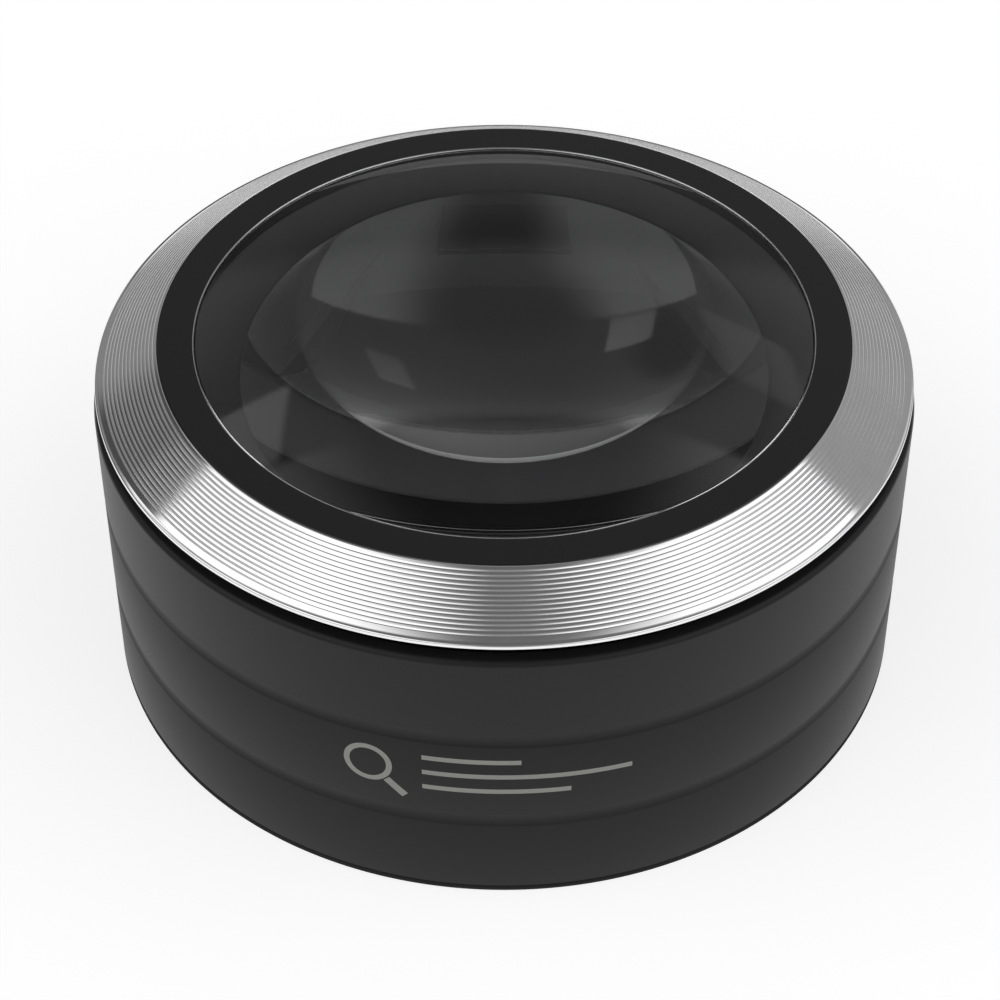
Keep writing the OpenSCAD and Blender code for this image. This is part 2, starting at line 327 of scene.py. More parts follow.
@dataclass(frozen=True)
class TurnedMetal:
    """Bright metal with the concentric marks that a lathe tool leaves."""

    name: str
    colour: Colour
    roughness: float = 0.16
    mark_pitch: float = 0.05
    mark_depth: float = 0.0006

    def material(self) -> Material:
        """The finish as a material."""
        graph = Graph(self.name)
        radius = graph.radius()
        marks = graph.node("TexNoise", noise_dimensions="1D")
        graph.feed(marks.inputs["W"], radius)
        marks.inputs["Scale"].default_value = 1 / (self.mark_pitch * MM)
        marks.inputs["Detail"].default_value = 2.0
        smear = graph.noise(1.6, detail=4.0)
        graph.set(
            Base_Color=graph.blend(smear, shade(self.colour, 0.96), shade(self.colour, 1.03)),
            Metallic=1.0,
            Roughness=graph.spread(smear, self.roughness * 0.85, self.roughness * 1.2),
        )
        graph.relief(marks.outputs["Fac"], self.mark_depth)
        return graph.material


@dataclass(frozen=True)
class BrightMetal:
    """Plated or drawn metal with soft streaks and handling marks."""

    name: str
    colour: Colour
    roughness: float = 0.25
    streak: Point3 = (1, 1, 6)

    def material(self) -> Material:
        """The finish as a material."""
        graph = Graph(self.name)
        streaks = graph.noise(0.5, stretch=self.streak)
        graph.set(
            Base_Color=graph.blend(streaks, shade(self.colour, 0.88), shade(self.colour, 1.06)),
            Metallic=1.0,
            Roughness=graph.spread(streaks, self.roughness * 0.7, self.roughness * 1.3),
        )
        graph.relief(streaks, 0.002, 0.4)
        return graph.material


@dataclass(frozen=True)
class ClearPlastic:
    """Clear acrylic, polished or frosted."""

    name: str
    tint: Colour
    ior: float = 1.49
    roughness: float = 0.0
    ripple: float = 0.0

    def material(self) -> Material:
        """The finish as a material."""
        graph = Graph(self.name)
        cloud = graph.noise(9.0, detail=1.0)
        graph.set(
            Base_Color=graph.blend(cloud, shade(self.tint, 0.995), self.tint),
            Roughness=self.roughness,
            IOR=self.ior,
            Transmission_Weight=1.0,
        )
        if self.ripple:
            graph.relief(graph.noise(0.7), self.ripple)
        return graph.material


@dataclass(frozen=True)
class Laminate:
    """A circuit board's black mask over copper tracks, with a woven ground."""

    name: str
    mask: Colour = (0.008, 0.012, 0.011)
    track: Colour = (0.02, 0.028, 0.025)
    track_pitch: float = 1.3

    def material(self) -> Material:
        """The finish as a material."""
        graph = Graph(self.name)
        wave = graph.node("TexWave", wave_type="RINGS", rings_direction="Z")
        graph.feed(wave.inputs["Vector"], graph.place())
        wave.inputs["Scale"].default_value = 1 / (self.track_pitch * MM * 3)
        wave.inputs["Distortion"].default_value = 0.6
        edge = graph.math("GREATER_THAN", wave.outputs["Fac"], 0.62)
        weave = graph.noise(0.25, stretch=(4, 1, 1))
        graph.set(
            Base_Color=graph.blend(edge, self.mask, self.track),
            Roughness=graph.spread(weave, 0.25, 0.4),
            Coat_Weight=0.4,
            Coat_Roughness=0.15,
        )
        graph.relief(edge, 0.03, 0.6)
        graph.relief(weave, 0.004, 0.3)
        return graph.material


@dataclass(frozen=True)
class SoftRubber:
    """Rubber or foam, with a pebbled skin and a dusty sheen."""

    name: str
    colour: Colour
    pore: float = 0.3
    pore_depth: float = 0.03
    roughness: float = 0.8

    def material(self) -> Material:
        """The finish as a material."""
        graph = Graph(self.name)
        pores = graph.node("TexVoronoi")
        graph.feed(pores.inputs["Vector"], graph.place())
        pores.inputs["Scale"].default_value = 1 / (self.pore * MM)
        dust = graph.noise(2.5)
        graph.set(
            Base_Color=graph.blend(dust, self.colour, shade(self.colour, 1.6)),
            Roughness=self.roughness,
            Sheen_Weight=0.15,
        )
        graph.relief(pores.outputs["Distance"], self.pore_depth, 0.6)
        return graph.material


@dataclass(frozen=True)
class RimPaint:
    """Paint on the lens's lower rim, which is darker towards the middle."""

    name: str
    inner: Colour
    outer: Colour
    reach: Point2 = (26.0, 32.0)

    def material(self) -> Material:
        """The finish as a material."""
        graph = Graph(self.name)
        step = graph.remap(graph.radius(), (self.reach[0] * MM, self.reach[1] * MM), (0.0, 1.0))
        speck = graph.noise(0.25)
        graph.set(
            Base_Color=graph.blend(step, self.inner, self.outer),
            Roughness=graph.spread(speck, 0.55, 0.75),
            Specular_IOR_Level=0.2,
        )
        graph.relief(speck, 0.003, 0.4)
        return graph.material


@dataclass(frozen=True)
class TableTop:
    """The pale table, with a painted pool of light: its emission glows evenly near the object, dims further
    away and stops under the object, where the table's colour is painted dark for the shade inside the well.
    Its sizes are in metres.
    """

    name: str = "pale_table"
    edge: float = 0.0435
    near: float = 0.15
    far: float = 0.36
    albedo: float = 0.5
    # painted shade: the table's dark colour under the object stands in for the shade inside the well
    painted_shade: float = 0.07
    # painted light: the emission strength of the pool of light painted on the table near the object
    painted_glow: float = 0.7

    def material(self) -> Material:
        """The finish as a material."""
        graph = Graph(self.name)
        # painted light: the table glows evenly out to near, dims out to far, and does not glow under the
        # object
        painted_glow_falloff = graph.remap(graph.radius(), (self.near, self.far), (self.painted_glow, 0.0), smooth=True)
        outside = graph.math("GREATER_THAN", graph.radius(), self.edge)
        # painted shade: the table is coloured dark inside the object's footprint
        painted_shade = graph.blend(graph.noise(30.0), (self.painted_shade,) * 3, (self.painted_shade * 1.1,) * 3)
        cloth = graph.blend(graph.noise(30.0), (self.albedo,) * 3, (self.albedo * 1.02,) * 3)
        graph.set(
            Base_Color=graph.join(outside, painted_shade, cloth),
            Roughness=0.9,
            Specular_IOR_Level=0.1,
            Emission_Color=(1, 1, 1, 1),
            Emission_Strength=graph.math("MULTIPLY", painted_glow_falloff, outside),
        )
        return graph.material


@dataclass(frozen=True)
class Finishes:
    """Every finish of the object, by what it is on."""

    body_coat: Moulding = Moulding("satin_body_coat", (0.0118, 0.0112, 0.0114), 0.42, 0.05, 0.12, 0.002, 0.24)
    collar: Moulding = Moulding("gloss_collar", (0.004, 0.004, 0.005), 0.12, 0.1, 0.3, 0.001)
    funnel: Moulding = Moulding("satin_funnel", (0.045, 0.045, 0.049), 0.6, 0.1, 0.3, 0.004, 0.25)
    ring: Moulding = Moulding("gloss_ring", (0.007, 0.007, 0.008), 0.06, 0.02, 0.4, 0.0002)
    tray: Moulding = Moulding("moulded_tray", (0.02, 0.02, 0.022), 0.5)
    cover: Moulding = Moulding("moulded_cover", (0.022, 0.022, 0.024), 0.48, 0.1, 0.25, 0.01)
    plunger: Moulding = Moulding("switch_plunger", (0.5, 0.02, 0.015), 0.35)
    epoxy: Moulding = Moulding("component_epoxy", (0.012, 0.012, 0.013), 0.55, 0.2, 0.1, 0.004)
    lamp_case: Moulding = Moulding("lamp_case", (0.8, 0.8, 0.77), 0.4, 0.03)
    phosphor: Moulding = Moulding("lamp_phosphor", (0.85, 0.62, 0.08), 0.25, 0.08, 0.06, 0.004)
    red_lead: Moulding = Moulding("red_lead", (0.45, 0.012, 0.01), 0.4)
    black_lead: Moulding = Moulding("black_lead", (0.012, 0.012, 0.012), 0.4)
    jacket: Moulding = Moulding("cell_jacket", (0.02, 0.09, 0.045), 0.2, 0.05, 0.3, 0.001)
    jacket_band: Moulding = Moulding("cell_band", (0.55, 0.36, 0.12), 0.25, 0.05, 0.3, 0.001)
    ink: Moulding = Moulding("printed_ink", (0.23, 0.23, 0.21), 0.5, 0.06, 0.1, 0.002)
    edge_paint: Moulding = Moulding("lens_edge_paint", (0.004, 0.004, 0.004), 0.7, 0.1, 0.2, 0.001, 0.2)
    rim_paint: RimPaint = RimPaint("lens_rim_paint", (0.05, 0.05, 0.053), (0.14, 0.14, 0.145))
    aluminium: TurnedMetal = TurnedMetal("turned_aluminium", (0.9, 0.9, 0.91), 0.1)
    cut_edge: TurnedMetal = TurnedMetal("cut_edge", (0.75, 0.75, 0.76), 0.2)
    screw: BrightMetal = BrightMetal("plated_screw", (0.62, 0.62, 0.62), 0.22)
    spring: BrightMetal = BrightMetal("spring_wire", (0.6, 0.6, 0.6), 0.2)
    contact: BrightMetal = BrightMetal("plated_contact", (0.72, 0.69, 0.6), 0.22)
    can: BrightMetal = BrightMetal("cell_can", (0.66, 0.66, 0.65), 0.2)
    lens: ClearPlastic = ClearPlastic("clear_lens", (0.985, 0.995, 1.0))
    window: ClearPlastic = ClearPlastic("frosted_window", (0.95, 0.97, 1.0), 1.49, 0.25, 0.01)
    board: Laminate = Laminate("board_laminate")
    gasket: SoftRubber = SoftRubber("gasket_rubber", (0.012, 0.012, 0.012), 0.2, 0.005, 0.5)
    foot: SoftRubber = SoftRubber("foot_rubber", (0.018, 0.018, 0.018), 0.35, 0.02)
    foam: SoftRubber = SoftRubber("cell_pad_foam", (0.09, 0.09, 0.1), 0.6, 0.08, 0.95)
    table: TableTop = TableTop()


class Workshop:
    """Makes each finish once and dresses pieces with it."""

    def __init__(self) -> None:
        """Starts with no materials made."""
        self.finishes = Finishes()
        self.made: dict[str, Material] = {}

    def dress(self, obj: Object, finish: object) -> None:
        """Gives an object one finish all over.

        Args:
            obj: The piece.
            finish: One of the finishes.
        """
        if finish.name not in self.made:
            self.made[finish.name] = finish.material()
        obj.data.materials.clear()
        obj.data.materials.append(self.made[finish.name])

    def fit(
        self,
        obj: Object,
        finish: object,
        body: Body,
        slot: Slot,
        stands_for: Sequence[str] = (),
    ) -> Object:
        """Dresses a finished piece and fixes it to its body.

        Args:
            obj: The piece, in its place.
            finish: Its finish.
            body: The body that it rides on.
            slot: The record's finish for it; not used.
            stands_for: The CAD nodes that it replaces.

        Returns:
            The piece.
        """
        self.dress(obj, finish)
        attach(obj, body.value)
        if stands_for:
            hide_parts(*stands_for)
        LOG.info("%s rides on %s as %s", obj.name, body.value, finish.name)
        return obj

    def keep(self, frame: dict, node: str, finish: object) -> None:
        """Dresses a CAD node that stays as it is."""
        self.dress(frame["nodes"][node], finish)
        LOG.info("%s stays, as %s", node, finish.name)


# ---- Shapes ----


def polar(radius: float, degrees: float, z: float = 0.0) -> Point3:
    """A point given by its radius, its angle in degrees and its height."""
    turn = math.radians(degrees)
    return (radius * math.cos(turn), radius * math.sin(turn), z)


def into_scene(name: str, data: bpy.types.ID) -> Object:
    """A new object in the scene, with its data."""
    obj = bpy.data.objects.new(name, data)
    bpy.context.scene.collection.objects.link(obj)
    return obj


def new_mesh(
    name: str,
    points: Iterable[Point3],
    faces: Sequence[Sequence[int]] = (),
    edges: Sequence[tuple[int, int]] = (),
) -> Object:
    """A mesh object from points in millimetres.

    Args:
        name: The object's name.
        points: The points.
        faces: The faces, as indices of the points.
        edges: The loose edges.

    Returns:
        The object, in the scene.
    """
    mesh = bpy.data.meshes.new(name)
    mesh.from_pydata([Vector(p) * MM for p in points], edges, faces)
    mesh.update()
    return into_scene(name, mesh)


def soften(obj: Object, width: float, segments: int = 2, angle: float = 30.0) -> None:
    """Rounds an object's sharp edges with a live Bevel.

    Args:
        obj: The object.
        width: The bevel's width in millimetres.
        segments: The number of its steps.
        angle: The least angle, in degrees, between two faces for the edge to be rounded.
    """
    bevel = obj.modifiers.new("Soft edges", "BEVEL")
    bevel.width = width * MM
    bevel.segments = segments
    bevel.limit_method = "ANGLE"
    bevel.angle_limit = math.radians(angle)
    bevel.harden_normals = True
    bevel.use_clamp_overlap = True
    for polygon in obj.data.polygons:
        polygon.use_smooth = True


def turned(
    name: str,
    profile: Sequence[Point2],
    steps: int = 96,
    edge: float = 0.0,
    segments: int = 2,
) -> Object:
    """A shape turned on the lathe. A profile that starts on the axis also ends there.

    Args:
        name: The object's name.
        profile: Points (radius, height), with the outer side running from top to bottom.
        steps: The number of steps round the axis.
        edge: The width of the rounding on its sharp edges.
        segments: The number of steps in that rounding.

    Returns:
        The object, with its modifiers live.
    """
    last = len(profile) - 1
    closing = [(last, 0)] if profile[0][0] else []
    edges = [(i, i + 1) for i in range(last)] + closing
    obj = new_mesh(name, [(r, 0, z) for r, z in profile], edges=edges)
    screw = obj.modifiers.new("Turn", "SCREW")
    screw.axis = "Z"
    screw.angle = math.tau
    screw.steps = screw.render_steps = steps
    screw.use_merge_vertices = True
    screw.merge_threshold = 0.002 * MM
    screw.use_smooth_shade = True
    if edge:
        soften(obj, edge, segments)
    return obj


def rod(radius: float, low: float, high: float) -> list[Point2]:
    """The profile of a plain solid cylinder."""
    return [(0, high), (radius, high), (radius, low), (0, low)]


def tube(outer: float, inner: float, low: float, high: float) -> list[Point2]:
    """The profile of a plain hollow cylinder."""
    return [(outer, high), (outer, low), (inner, low), (inner, high)]


def cap_radius(half: float, rise: float) -> float:
    """The radius of the sphere whose cap has a given half width and rise."""
    return (half**2 + rise**2) / (2 * rise)


def cap_turn(half: float, radius: float) -> float:
    """The angle in degrees from a cap's middle out to a half width."""
    return math.degrees(math.asin(half / radius))


def even(start: float, end: float, count: int) -> list[float]:
    """Evenly spaced numbers, one more than the count, ends included."""
    return [start + (end - start) * i / count for i in range(count + 1)]


def carried(points: Iterable[Point3], place: Matrix) -> list[Point3]:
    """Points moved to a place."""
    return [tuple(place @ Vector(point)) for point in points]


def thicken(obj: Object, name: str, width: float) -> bpy.types.Modifier:
    """Gives a sheet a live thickness behind its faces.

    Args:
        obj: The sheet.
        name: The modifier's name.
        width: The thickness in millimetres.

    Returns:
        The modifier.
    """
    thick = obj.modifiers.new(name, "SOLIDIFY")
    thick.thickness = width * MM
    thick.offset = -1
    return thick


def move(mesh: bpy.types.Mesh, place: Matrix) -> None:
    """Moves a mesh to a place whose shift is in millimetres."""
    scaled = place.copy()
    scaled.translation = place.translation * MM
    mesh.transform(scaled)


def settle(obj: Object, place: Matrix | None = None) -> Object:
    """Applies an object's modifiers, and then its place.

    Args:
        obj: The object.
        place: Its place, with its shift in millimetres.

    Returns:
        The same object, at the origin.
    """
    graph = bpy.context.evaluated_depsgraph_get()
    mesh = bpy.data.meshes.new_from_object(obj.evaluated_get(graph), depsgraph=graph)
    obj.modifiers.clear()
    if obj.type == "MESH":
        obj.data = mesh
    else:
        name = obj.name
        bpy.data.objects.remove(obj)
        obj = into_scene(name, mesh)
    if place is not None:
        move(mesh, place)
    return obj


def copy_to(obj: Object, name: str, place: Matrix) -> Object:
    """A copy of a settled object in another place, with its own mesh.

    Args:
        obj: The object to copy.
        name: The copy's name.
        place: The copy's place, with its shift in millimetres.

    Returns:
        The copy.
    """
    made = into_scene(name, obj.data.copy())
    made.data.name = name
    move(made.data, place)
    return made


def drop(obj: Object) -> None:
    """Removes a helper object."""
    bpy.data.objects.remove(obj)


def carve(obj: Object, cutters: Sequence[Object]) -> None:
    """Cuts shapes out of an object and removes them.

    Args:
        obj: The object, with any other modifiers already applied.
        cutters: The shapes to cut out.
    """
    for cutter in cutters:
        cut = obj.modifiers.new("Cut", "BOOLEAN")
        cut.operation = "DIFFERENCE"
        cut.solver = "EXACT"
        cut.object = cutter
    settle(obj)
    for cutter in cutters:
        drop(cutter)


def block(name: str, low: Point3, high: Point3, edge: float = 0.0) -> Object:
    """A cage of six faces between two corners.

    Args:
        name: The object's name.
        low: The lowest corner.
        high: The highest corner.
        edge: The width of the rounding on its edges.

    Returns:
        The object.
    """
    xs, ys, zs = zip(low, high)
    corners = [(x, y, z) for z in zs for y in ys for x in xs]
    faces = [(0, 2, 3, 1), (4, 5, 7, 6), (0, 1, 5, 4), (1, 3, 7, 5), (3, 2, 6, 7), (2, 0, 4, 6)]
    obj = new_mesh(name, corners, faces)
    if edge:
        soften(obj, edge)
    return obj


def arc_block(
    name: str,
    radii: Point2,
    heights: Point2,
    angles: Point2,
    edge: float = 0.0,
    step: float = 2.0,
) -> Object:
    """A block bent round the axis.

    Args:
        name: The object's name.
        radii: Its inner and outer radius.
        heights: Its lower and upper height.
        angles: Its first and last angle, in degrees.
        edge: The width of the rounding on its edges.
        step: The angle between its slices, in degrees.

    Returns:
        The object.
    """
    count = max(1, math.ceil((angles[1] - angles[0]) / step))
    (inner, outer), (low, high) = radii, heights
    corners = ((inner, low), (outer, low), (outer, high), (inner, high))
    points = [polar(r, turn, z) for turn in even(*angles, count) for r, z in corners]
    faces = []
    for i in range(count):
        a, b = 4 * i, 4 * (i + 1)
        faces += [(a + j, b + j, b + (j + 1) % 4, a + (j + 1) % 4) for j in range(4)]
    faces += [(0, 1, 2, 3), tuple(4 * count + j for j in (3, 2, 1, 0))]
    obj = new_mesh(name, points, faces)
    if edge:
        soften(obj, edge)
    return obj


def wire(name: str, points: Sequence[Point3], radius: float) -> Object:
    """A round wire along a smooth curve, made a mesh.

    Args:
        name: The object's name.
        points: The curve's points.
        radius: The wire's radius.

    Returns:
        The mesh object.
    """
    curve = bpy.data.curves.new(name, "CURVE")
    curve.dimensions = "3D"
    curve.bevel_depth = radius * MM
    curve.bevel_resolution = 3
    curve.use_fill_caps = True
    spline = curve.splines.new("POLY")
    spline.points.add(len(points) - 1)
    for target, point in zip(spline.points, points):
        target.co = (*(Vector(point) * MM), 1)
    spline.use_smooth = True
    made = settle(into_scene(name, curve))
    shape = bmesh.new()
    shape.from_mesh(made.data)
    bmesh.ops.remove_doubles(shape, verts=shape.verts, dist=0.001 * MM)
    shape.to_mesh(made.data)
    shape.free()
    return made


def arc(centre: Point2, radius: float, start: float, end: float, count: int) -> list[Point2]:
    """Points on an arc of a profile."""
    turns = [math.radians(turn) for turn in even(start, end, count)]
    return [(centre[0] + radius * math.cos(t), centre[1] + radius * math.sin(t)) for t in turns]


def stand(radius: float, degrees: float, z: float = 0.0) -> Matrix:
    """A place at a radius and an angle, turned to face away from the axis."""
    return Matrix.Rotation(math.radians(degrees), 4, "Z") @ Matrix.Translation((radius, 0, z))


@dataclass(frozen=True)
class Extent:
    """The box of a CAD node, in millimetres."""

    low: Vector
    high: Vector

    @classmethod
    def of(cls, node: str) -> "Extent":
        """The box of a node at rest."""
        low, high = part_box(node)
        return cls(low / MM, high / MM)

    @property
    def radius(self) -> float:
        """The largest distance from the axis along X."""
        return self.high.x


@dataclass(frozen=True)
class Stations:
    """The three-fold places inside the body, as (radius, angle past the middle of a cell's bay)."""

    bay_turn: float = 30.0
    guide: Point2 = (36.8, 0.0)
    board_screw: Point2 = (37.0, 22.0)
    post: Point2 = (38.4, 49.0)
    switch: Point2 = (36.0, 60.0)
    lamp: Point2 = (34.8, 60.0)

    def turns(self, past: float = 0.0) -> list[float]:
        """The three angles at a given turn past the bays."""
        return [self.bay_turn + past + 120 * k for k in range(3)]

    def places(self, station: Point2, z: float = 0.0) -> list[Matrix]:
        """The three places of a station at a height."""
        return [stand(station[0], turn, z) for turn in self.turns(station[1])]


# ---- The object's sub-assemblies ----


@dataclass
class Assembly:
    """What every sub-assembly is built with."""

    shop: Workshop
    frame: dict
    at: Stations = field(default_factory=Stations)
    body: Body = Body.BASE

    @property
    def looks(self) -> Finishes:
        """The finishes to choose from."""
        return self.shop.finishes

    def add(
        self, obj: Object, finish: object, slot: Slot, *nodes: str, place: Matrix | None = None
    ) -> Object:
        """Puts a piece in its place, dresses it and fixes it to the assembly's body.

        Args:
            obj: The piece.
            finish: Its finish.
            slot: The record's finish for it.
            nodes: The CAD nodes that it replaces.
            place: Its place, if it isn't there yet.

        Returns:
            The piece.
        """
        if place is not None:
            obj = settle(obj, place)
        return self.shop.fit(obj, finish, self.body, slot, nodes)


@dataclass
class BodyShell(Assembly):
    """The satin sleeve, with its ledge, posts, stand-offs and the hooks for the cover."""

    groove_tops: Point2 = (23.0, 11.45)
    groove_height: float = 1.7
    groove_depth: float = 0.24
    rim_round: float = 0.6
    bore_radius: float = 41.75
    root: float = 0.3
    overlap: float = 0.4
    ledge_low: float = 26.6
    ledge_high: float = 28.2
    ledge_inner: float = 34.2
    guide_hole: tuple[float, float, float] = (1.5, 20, 32)
    switch_hole: tuple[Point3, Point3] = ((32, -3.5, 25), (39.6, 3.5, 30))
    post: Point2 = (2.5, 1.27)
    post_low: float = 15.45
    rib_reach: Point2 = (2.3, 3.9)
    rib_half: float = 0.8
    standoff: Point2 = (2.4, 1.02)
    standoff_low: float = 25.65
    hook_radius: float = 40.3
    hook_heights: Point2 = (2.9, 3.95)
    hook_span: Point2 = (-5.5, 9.0)
    hook_turn: float = 18.0
    stop_turns: Point2 = (8.3, -24.4)
    stop_width: float = 2.0
    stop_top: float = 5.0

    def groove(self, radius: float, top: float) -> list[Point2]:
        """One groove of the outer wall, from its top edge down.

        Args:
            radius: The wall's radius.
            top: The height of the groove's upper edge.

        Returns:
            The groove's points.
        """
        deep, low = radius - self.groove_depth, top - self.groove_height
        return [
            (radius, top + 0.08), (radius - 0.05, top), (deep, top - 0.22), (deep - 0.01, top - 0.6),
            (deep, low + 0.6), (radius - 0.06, low + 0.12), (radius, low),
        ]

    def sleeve(self) -> Object:
        """The turned outer wall."""
        box = Extent.of("body_shell")
        radius, low, high, bore = box.radius, box.low.z, box.high.z, self.bore_radius
        profile = [(bore, high - 0.15), (bore + 0.15, high)]
        profile += arc((radius - self.rim_round, high - self.rim_round), self.rim_round, 90, 0, 8)
        for top in self.groove_tops:
            profile += self.groove(radius, top)
        profile += [(radius, low + 0.3), (radius - 0.3, low), (bore + 0.2, low), (bore, low + 0.2)]
        return turned("body_sleeve", profile, steps=288, edge=0.03)

    def ledge(self) -> Object:
        """The plate inside the sleeve that carries the board, the springs and the head."""
        profile = tube(self.bore_radius + self.overlap, self.ledge_inner, self.ledge_low, self.ledge_high)
        plate = settle(turned("body_ledge", profile, 144))
        holes = [
            settle(turned("cut", rod(*self.guide_hole), 32), place) for place in self.at.places(self.at.guide)
        ]
        for turn in self.at.turns(self.at.switch[1]):
            holes.append(settle(block("cut", *self.switch_hole), stand(0, turn)))
        carve(plate, holes)
        soften(plate, 0.12)
        return plate

    def inside(self, obj: Object, place: Matrix | None = None) -> None:
        """Adds one of the plain mouldings inside the sleeve."""
        self.add(obj, self.looks.tray, Slot.BODY_COAT, place=place)

    def build(self) -> None:
        """Builds the shell's pieces."""
        self.add(self.sleeve(), self.looks.body_coat, Slot.BODY_COAT, "body_shell")
        self.inside(self.ledge())
        top = self.ledge_low + self.root
        for k, place in enumerate(self.at.places(self.at.post), 1):
            post = turned(f"tray_post_{k}", tube(*self.post, self.post_low, top), 32, edge=0.15)
            self.inside(post, place)
            low = (self.rib_reach[0], -self.rib_half, self.post_low)
            self.inside(block(f"post_rib_{k}", low, (self.rib_reach[1], self.rib_half, top), 0.15), place)
        for k, place in enumerate(self.at.places(self.at.board_screw), 1):
            hollow = tube(*self.standoff, self.standoff_low, top)
            self.inside(turned(f"board_standoff_{k}", hollow, 32, edge=0.12), place)
        radii = (self.hook_radius, self.bore_radius + self.overlap)
        for k, turn in enumerate(self.at.turns(self.hook_turn), 1):
            span = (turn + self.hook_span[0], turn + self.hook_span[1])
            self.inside(arc_block(f"cover_hook_{k}", radii, self.hook_heights, span, 0.12))
            for side, start in zip("ab", self.stop_turns):
                span = (turn + start, turn + start + self.stop_width)
                heights = (self.hook_heights[0], self.stop_top)
                self.inside(arc_block(f"cover_stop_{k}{side}", radii, heights, span, 0.12))


@dataclass
class ReadingMark(Assembly):
    """A plain printed sign of a loupe over lines of reading, laid on the sleeve's middle band."""

    radius: float = 43.5
    proud: float = 0.012
    centre_height: float = 17.2
    start: float = -13.8
    ring_radius: float = 2.55
    stroke: float = 0.62
    handle: Point2 = (2.7, 5.4)
    handle_half: float = 0.42
    handle_turn: float = -45.0
    bars: tuple[Point3, ...] = ((5.6, 2.1, 15.5), (5.6, 0.0, 26.7), (5.6, -2.1, 20.5))

    def on_sleeve(self, points: Sequence[Point2]) -> list[Point3]:
        """Bends flat points round the sleeve's front.

        Args:
            points: Points (along the sleeve, height over the sign's middle).

        Returns:
            The bent points.
        """
        reach = self.radius + self.proud
        turns = [-90 + math.degrees((self.start + along) / self.radius) for along, _ in points]
        return [polar(reach, turn, self.centre_height + up) for turn, (_, up) in zip(turns, points)]

    def strip(self, name: str, inner: list[Point2], outer: list[Point2], closed: bool = False) -> None:
        """Adds a thin band between two rows of points, bent onto the sleeve.

        Args:
            name: The band's name.
            inner: The first row.
            outer: The second row, of the same length.
            closed: Whether the ends join.
        """
        count = len(inner)
        faces = []
        for i in range(count if closed else count - 1):
            j = (i + 1) % count
            faces.append((i, j, count + j, count + i))
        obj = new_mesh(name, self.on_sleeve(inner + outer), faces)
        thicken(obj, "Ink", self.proud * 0.8)
        self.add(obj, self.looks.ink, Slot.BODY_COAT)

    def build(self) -> None:
        """Builds the sign's ring, handle and bars."""
        radii = (self.ring_radius - self.stroke, self.ring_radius)
        self.strip("sign_ring", *(arc((0, 0), radius, 0, 360, 48)[:-1] for radius in radii), closed=True)
        turn = math.radians(self.handle_turn)
        side = (self.handle_half * math.sin(turn), -self.handle_half * math.cos(turn))
        line = [(s * math.cos(turn), s * math.sin(turn)) for s in even(*self.handle, 6)]
        self.strip("sign_handle", *([(x + k * side[0], y + k * side[1]) for x, y in line] for k in (1, -1)))
        half = self.stroke / 2
        for k, (start, height, end) in enumerate(self.bars, 1):
            xs = even(start, end, 24)
            self.strip(f"sign_line_{k}", *([(x, height + side) for x in xs] for side in (-half, half)))


@dataclass
class Funnel(Assembly):
    """The faceted viewing well with its three lamp windows."""

    long_wall: float = 21.4
    short_wall: float = 23.7
    flare: Point2 = (7.4, 6.8)
    low: float = 2.7
    short_kink: float = 12.0
    long_kink: float = 15.2
    top: float = 24.0
    window_z: float = 17.0
    window: Point2 = (11.0, 6.0)
    window_gap: float = 0.06
    pane_half: float = 0.4
    wall: float = 0.92
    tab: tuple[Point3, Point3] = ((22.2, -10, 15.45), (31, 10, 16.45))

    @property
    def tilt(self) -> float:
        """How far the short walls lean out, in radians."""
        return math.atan(self.flare[1] / (self.top - self.short_kink))

    def walls_at(self, z: float) -> Point2:
        """The distances of the long and short walls from the axis at a height."""
        grow_long = max(0.0, (z - self.long_kink) / (self.top - self.long_kink))
        grow_short = max(0.0, (z - self.short_kink) / (self.top - self.short_kink))
        return (self.long_wall + self.flare[0] * grow_long, self.short_wall + self.flare[1] * grow_short)

    def row(self, z: float) -> list[Point3]:
        """The wall's points at a height: each long wall's two corners, then the window's two columns."""
        long, short = self.walls_at(z)
        half = (2 * short - long) / math.sqrt(3)
        points = []
        for turn in self.at.turns():
            for past, distance, side in ((0, long, half), (60, short, self.window[0] / 2)):
                place = stand(0, turn + past)
                points += [tuple(place @ Vector((distance, y, z))) for y in (-side, side)]
        return points

    def well(self) -> Object:
        """The thin faceted wall, with its windows left open."""
        reach = self.window[1] / 2 * math.cos(self.tilt)
        gap = (self.window_z - reach, self.window_z + reach)
        levels = sorted([self.low, self.short_kink, self.long_kink, *gap, self.top])
        points = [point for z in levels for point in self.row(z)]
        columns, per_third, window_column = 12, 4, 2
        faces = []
        for k, (z0, z1) in enumerate(zip(levels, levels[1:])):
            open_level = gap[0] <= (z0 + z1) / 2 <= gap[1]
            for i in range(columns):
                if open_level and i % per_third == window_column:
                    continue
                a, b = columns * k + i, columns * k + (i + 1) % columns
                faces.append((a, a + columns, b + columns, b))
        obj = new_mesh("funnel_wall", points, faces)
        thicken(obj, "Wall", self.wall).use_even_offset = True
        soften(obj, 0.1, angle=12)
        return obj

    def build(self) -> None:
        """Builds the wall, its tabs and its windows."""
        self.add(self.well(), self.looks.funnel, Slot.GLOSS_BLACK, "light_funnel")
        for k, turn in enumerate(self.at.turns(), 1):
            tab = block(f"funnel_tab_{k}", *self.tab, 0.2)
            self.add(tab, self.looks.funnel, Slot.GLOSS_BLACK, place=stand(0, turn))
        corner = (self.pane_half, self.window[0] / 2 - self.window_gap, self.window[1] / 2 - self.window_gap)
        centre = self.walls_at(self.window_z)[1] + self.wall / 2
        for k, turn in enumerate(self.at.turns(60), 1):
            pane = block(f"lamp_window_{k}", tuple(-c for c in corner), corner, 0.15)
            place = stand(centre, turn, self.window_z) @ Matrix.Rotation(self.tilt, 4, "Y")
            self.add(pane, self.looks.window, Slot.WINDOW_CLEAR, "led_windows", place=place)


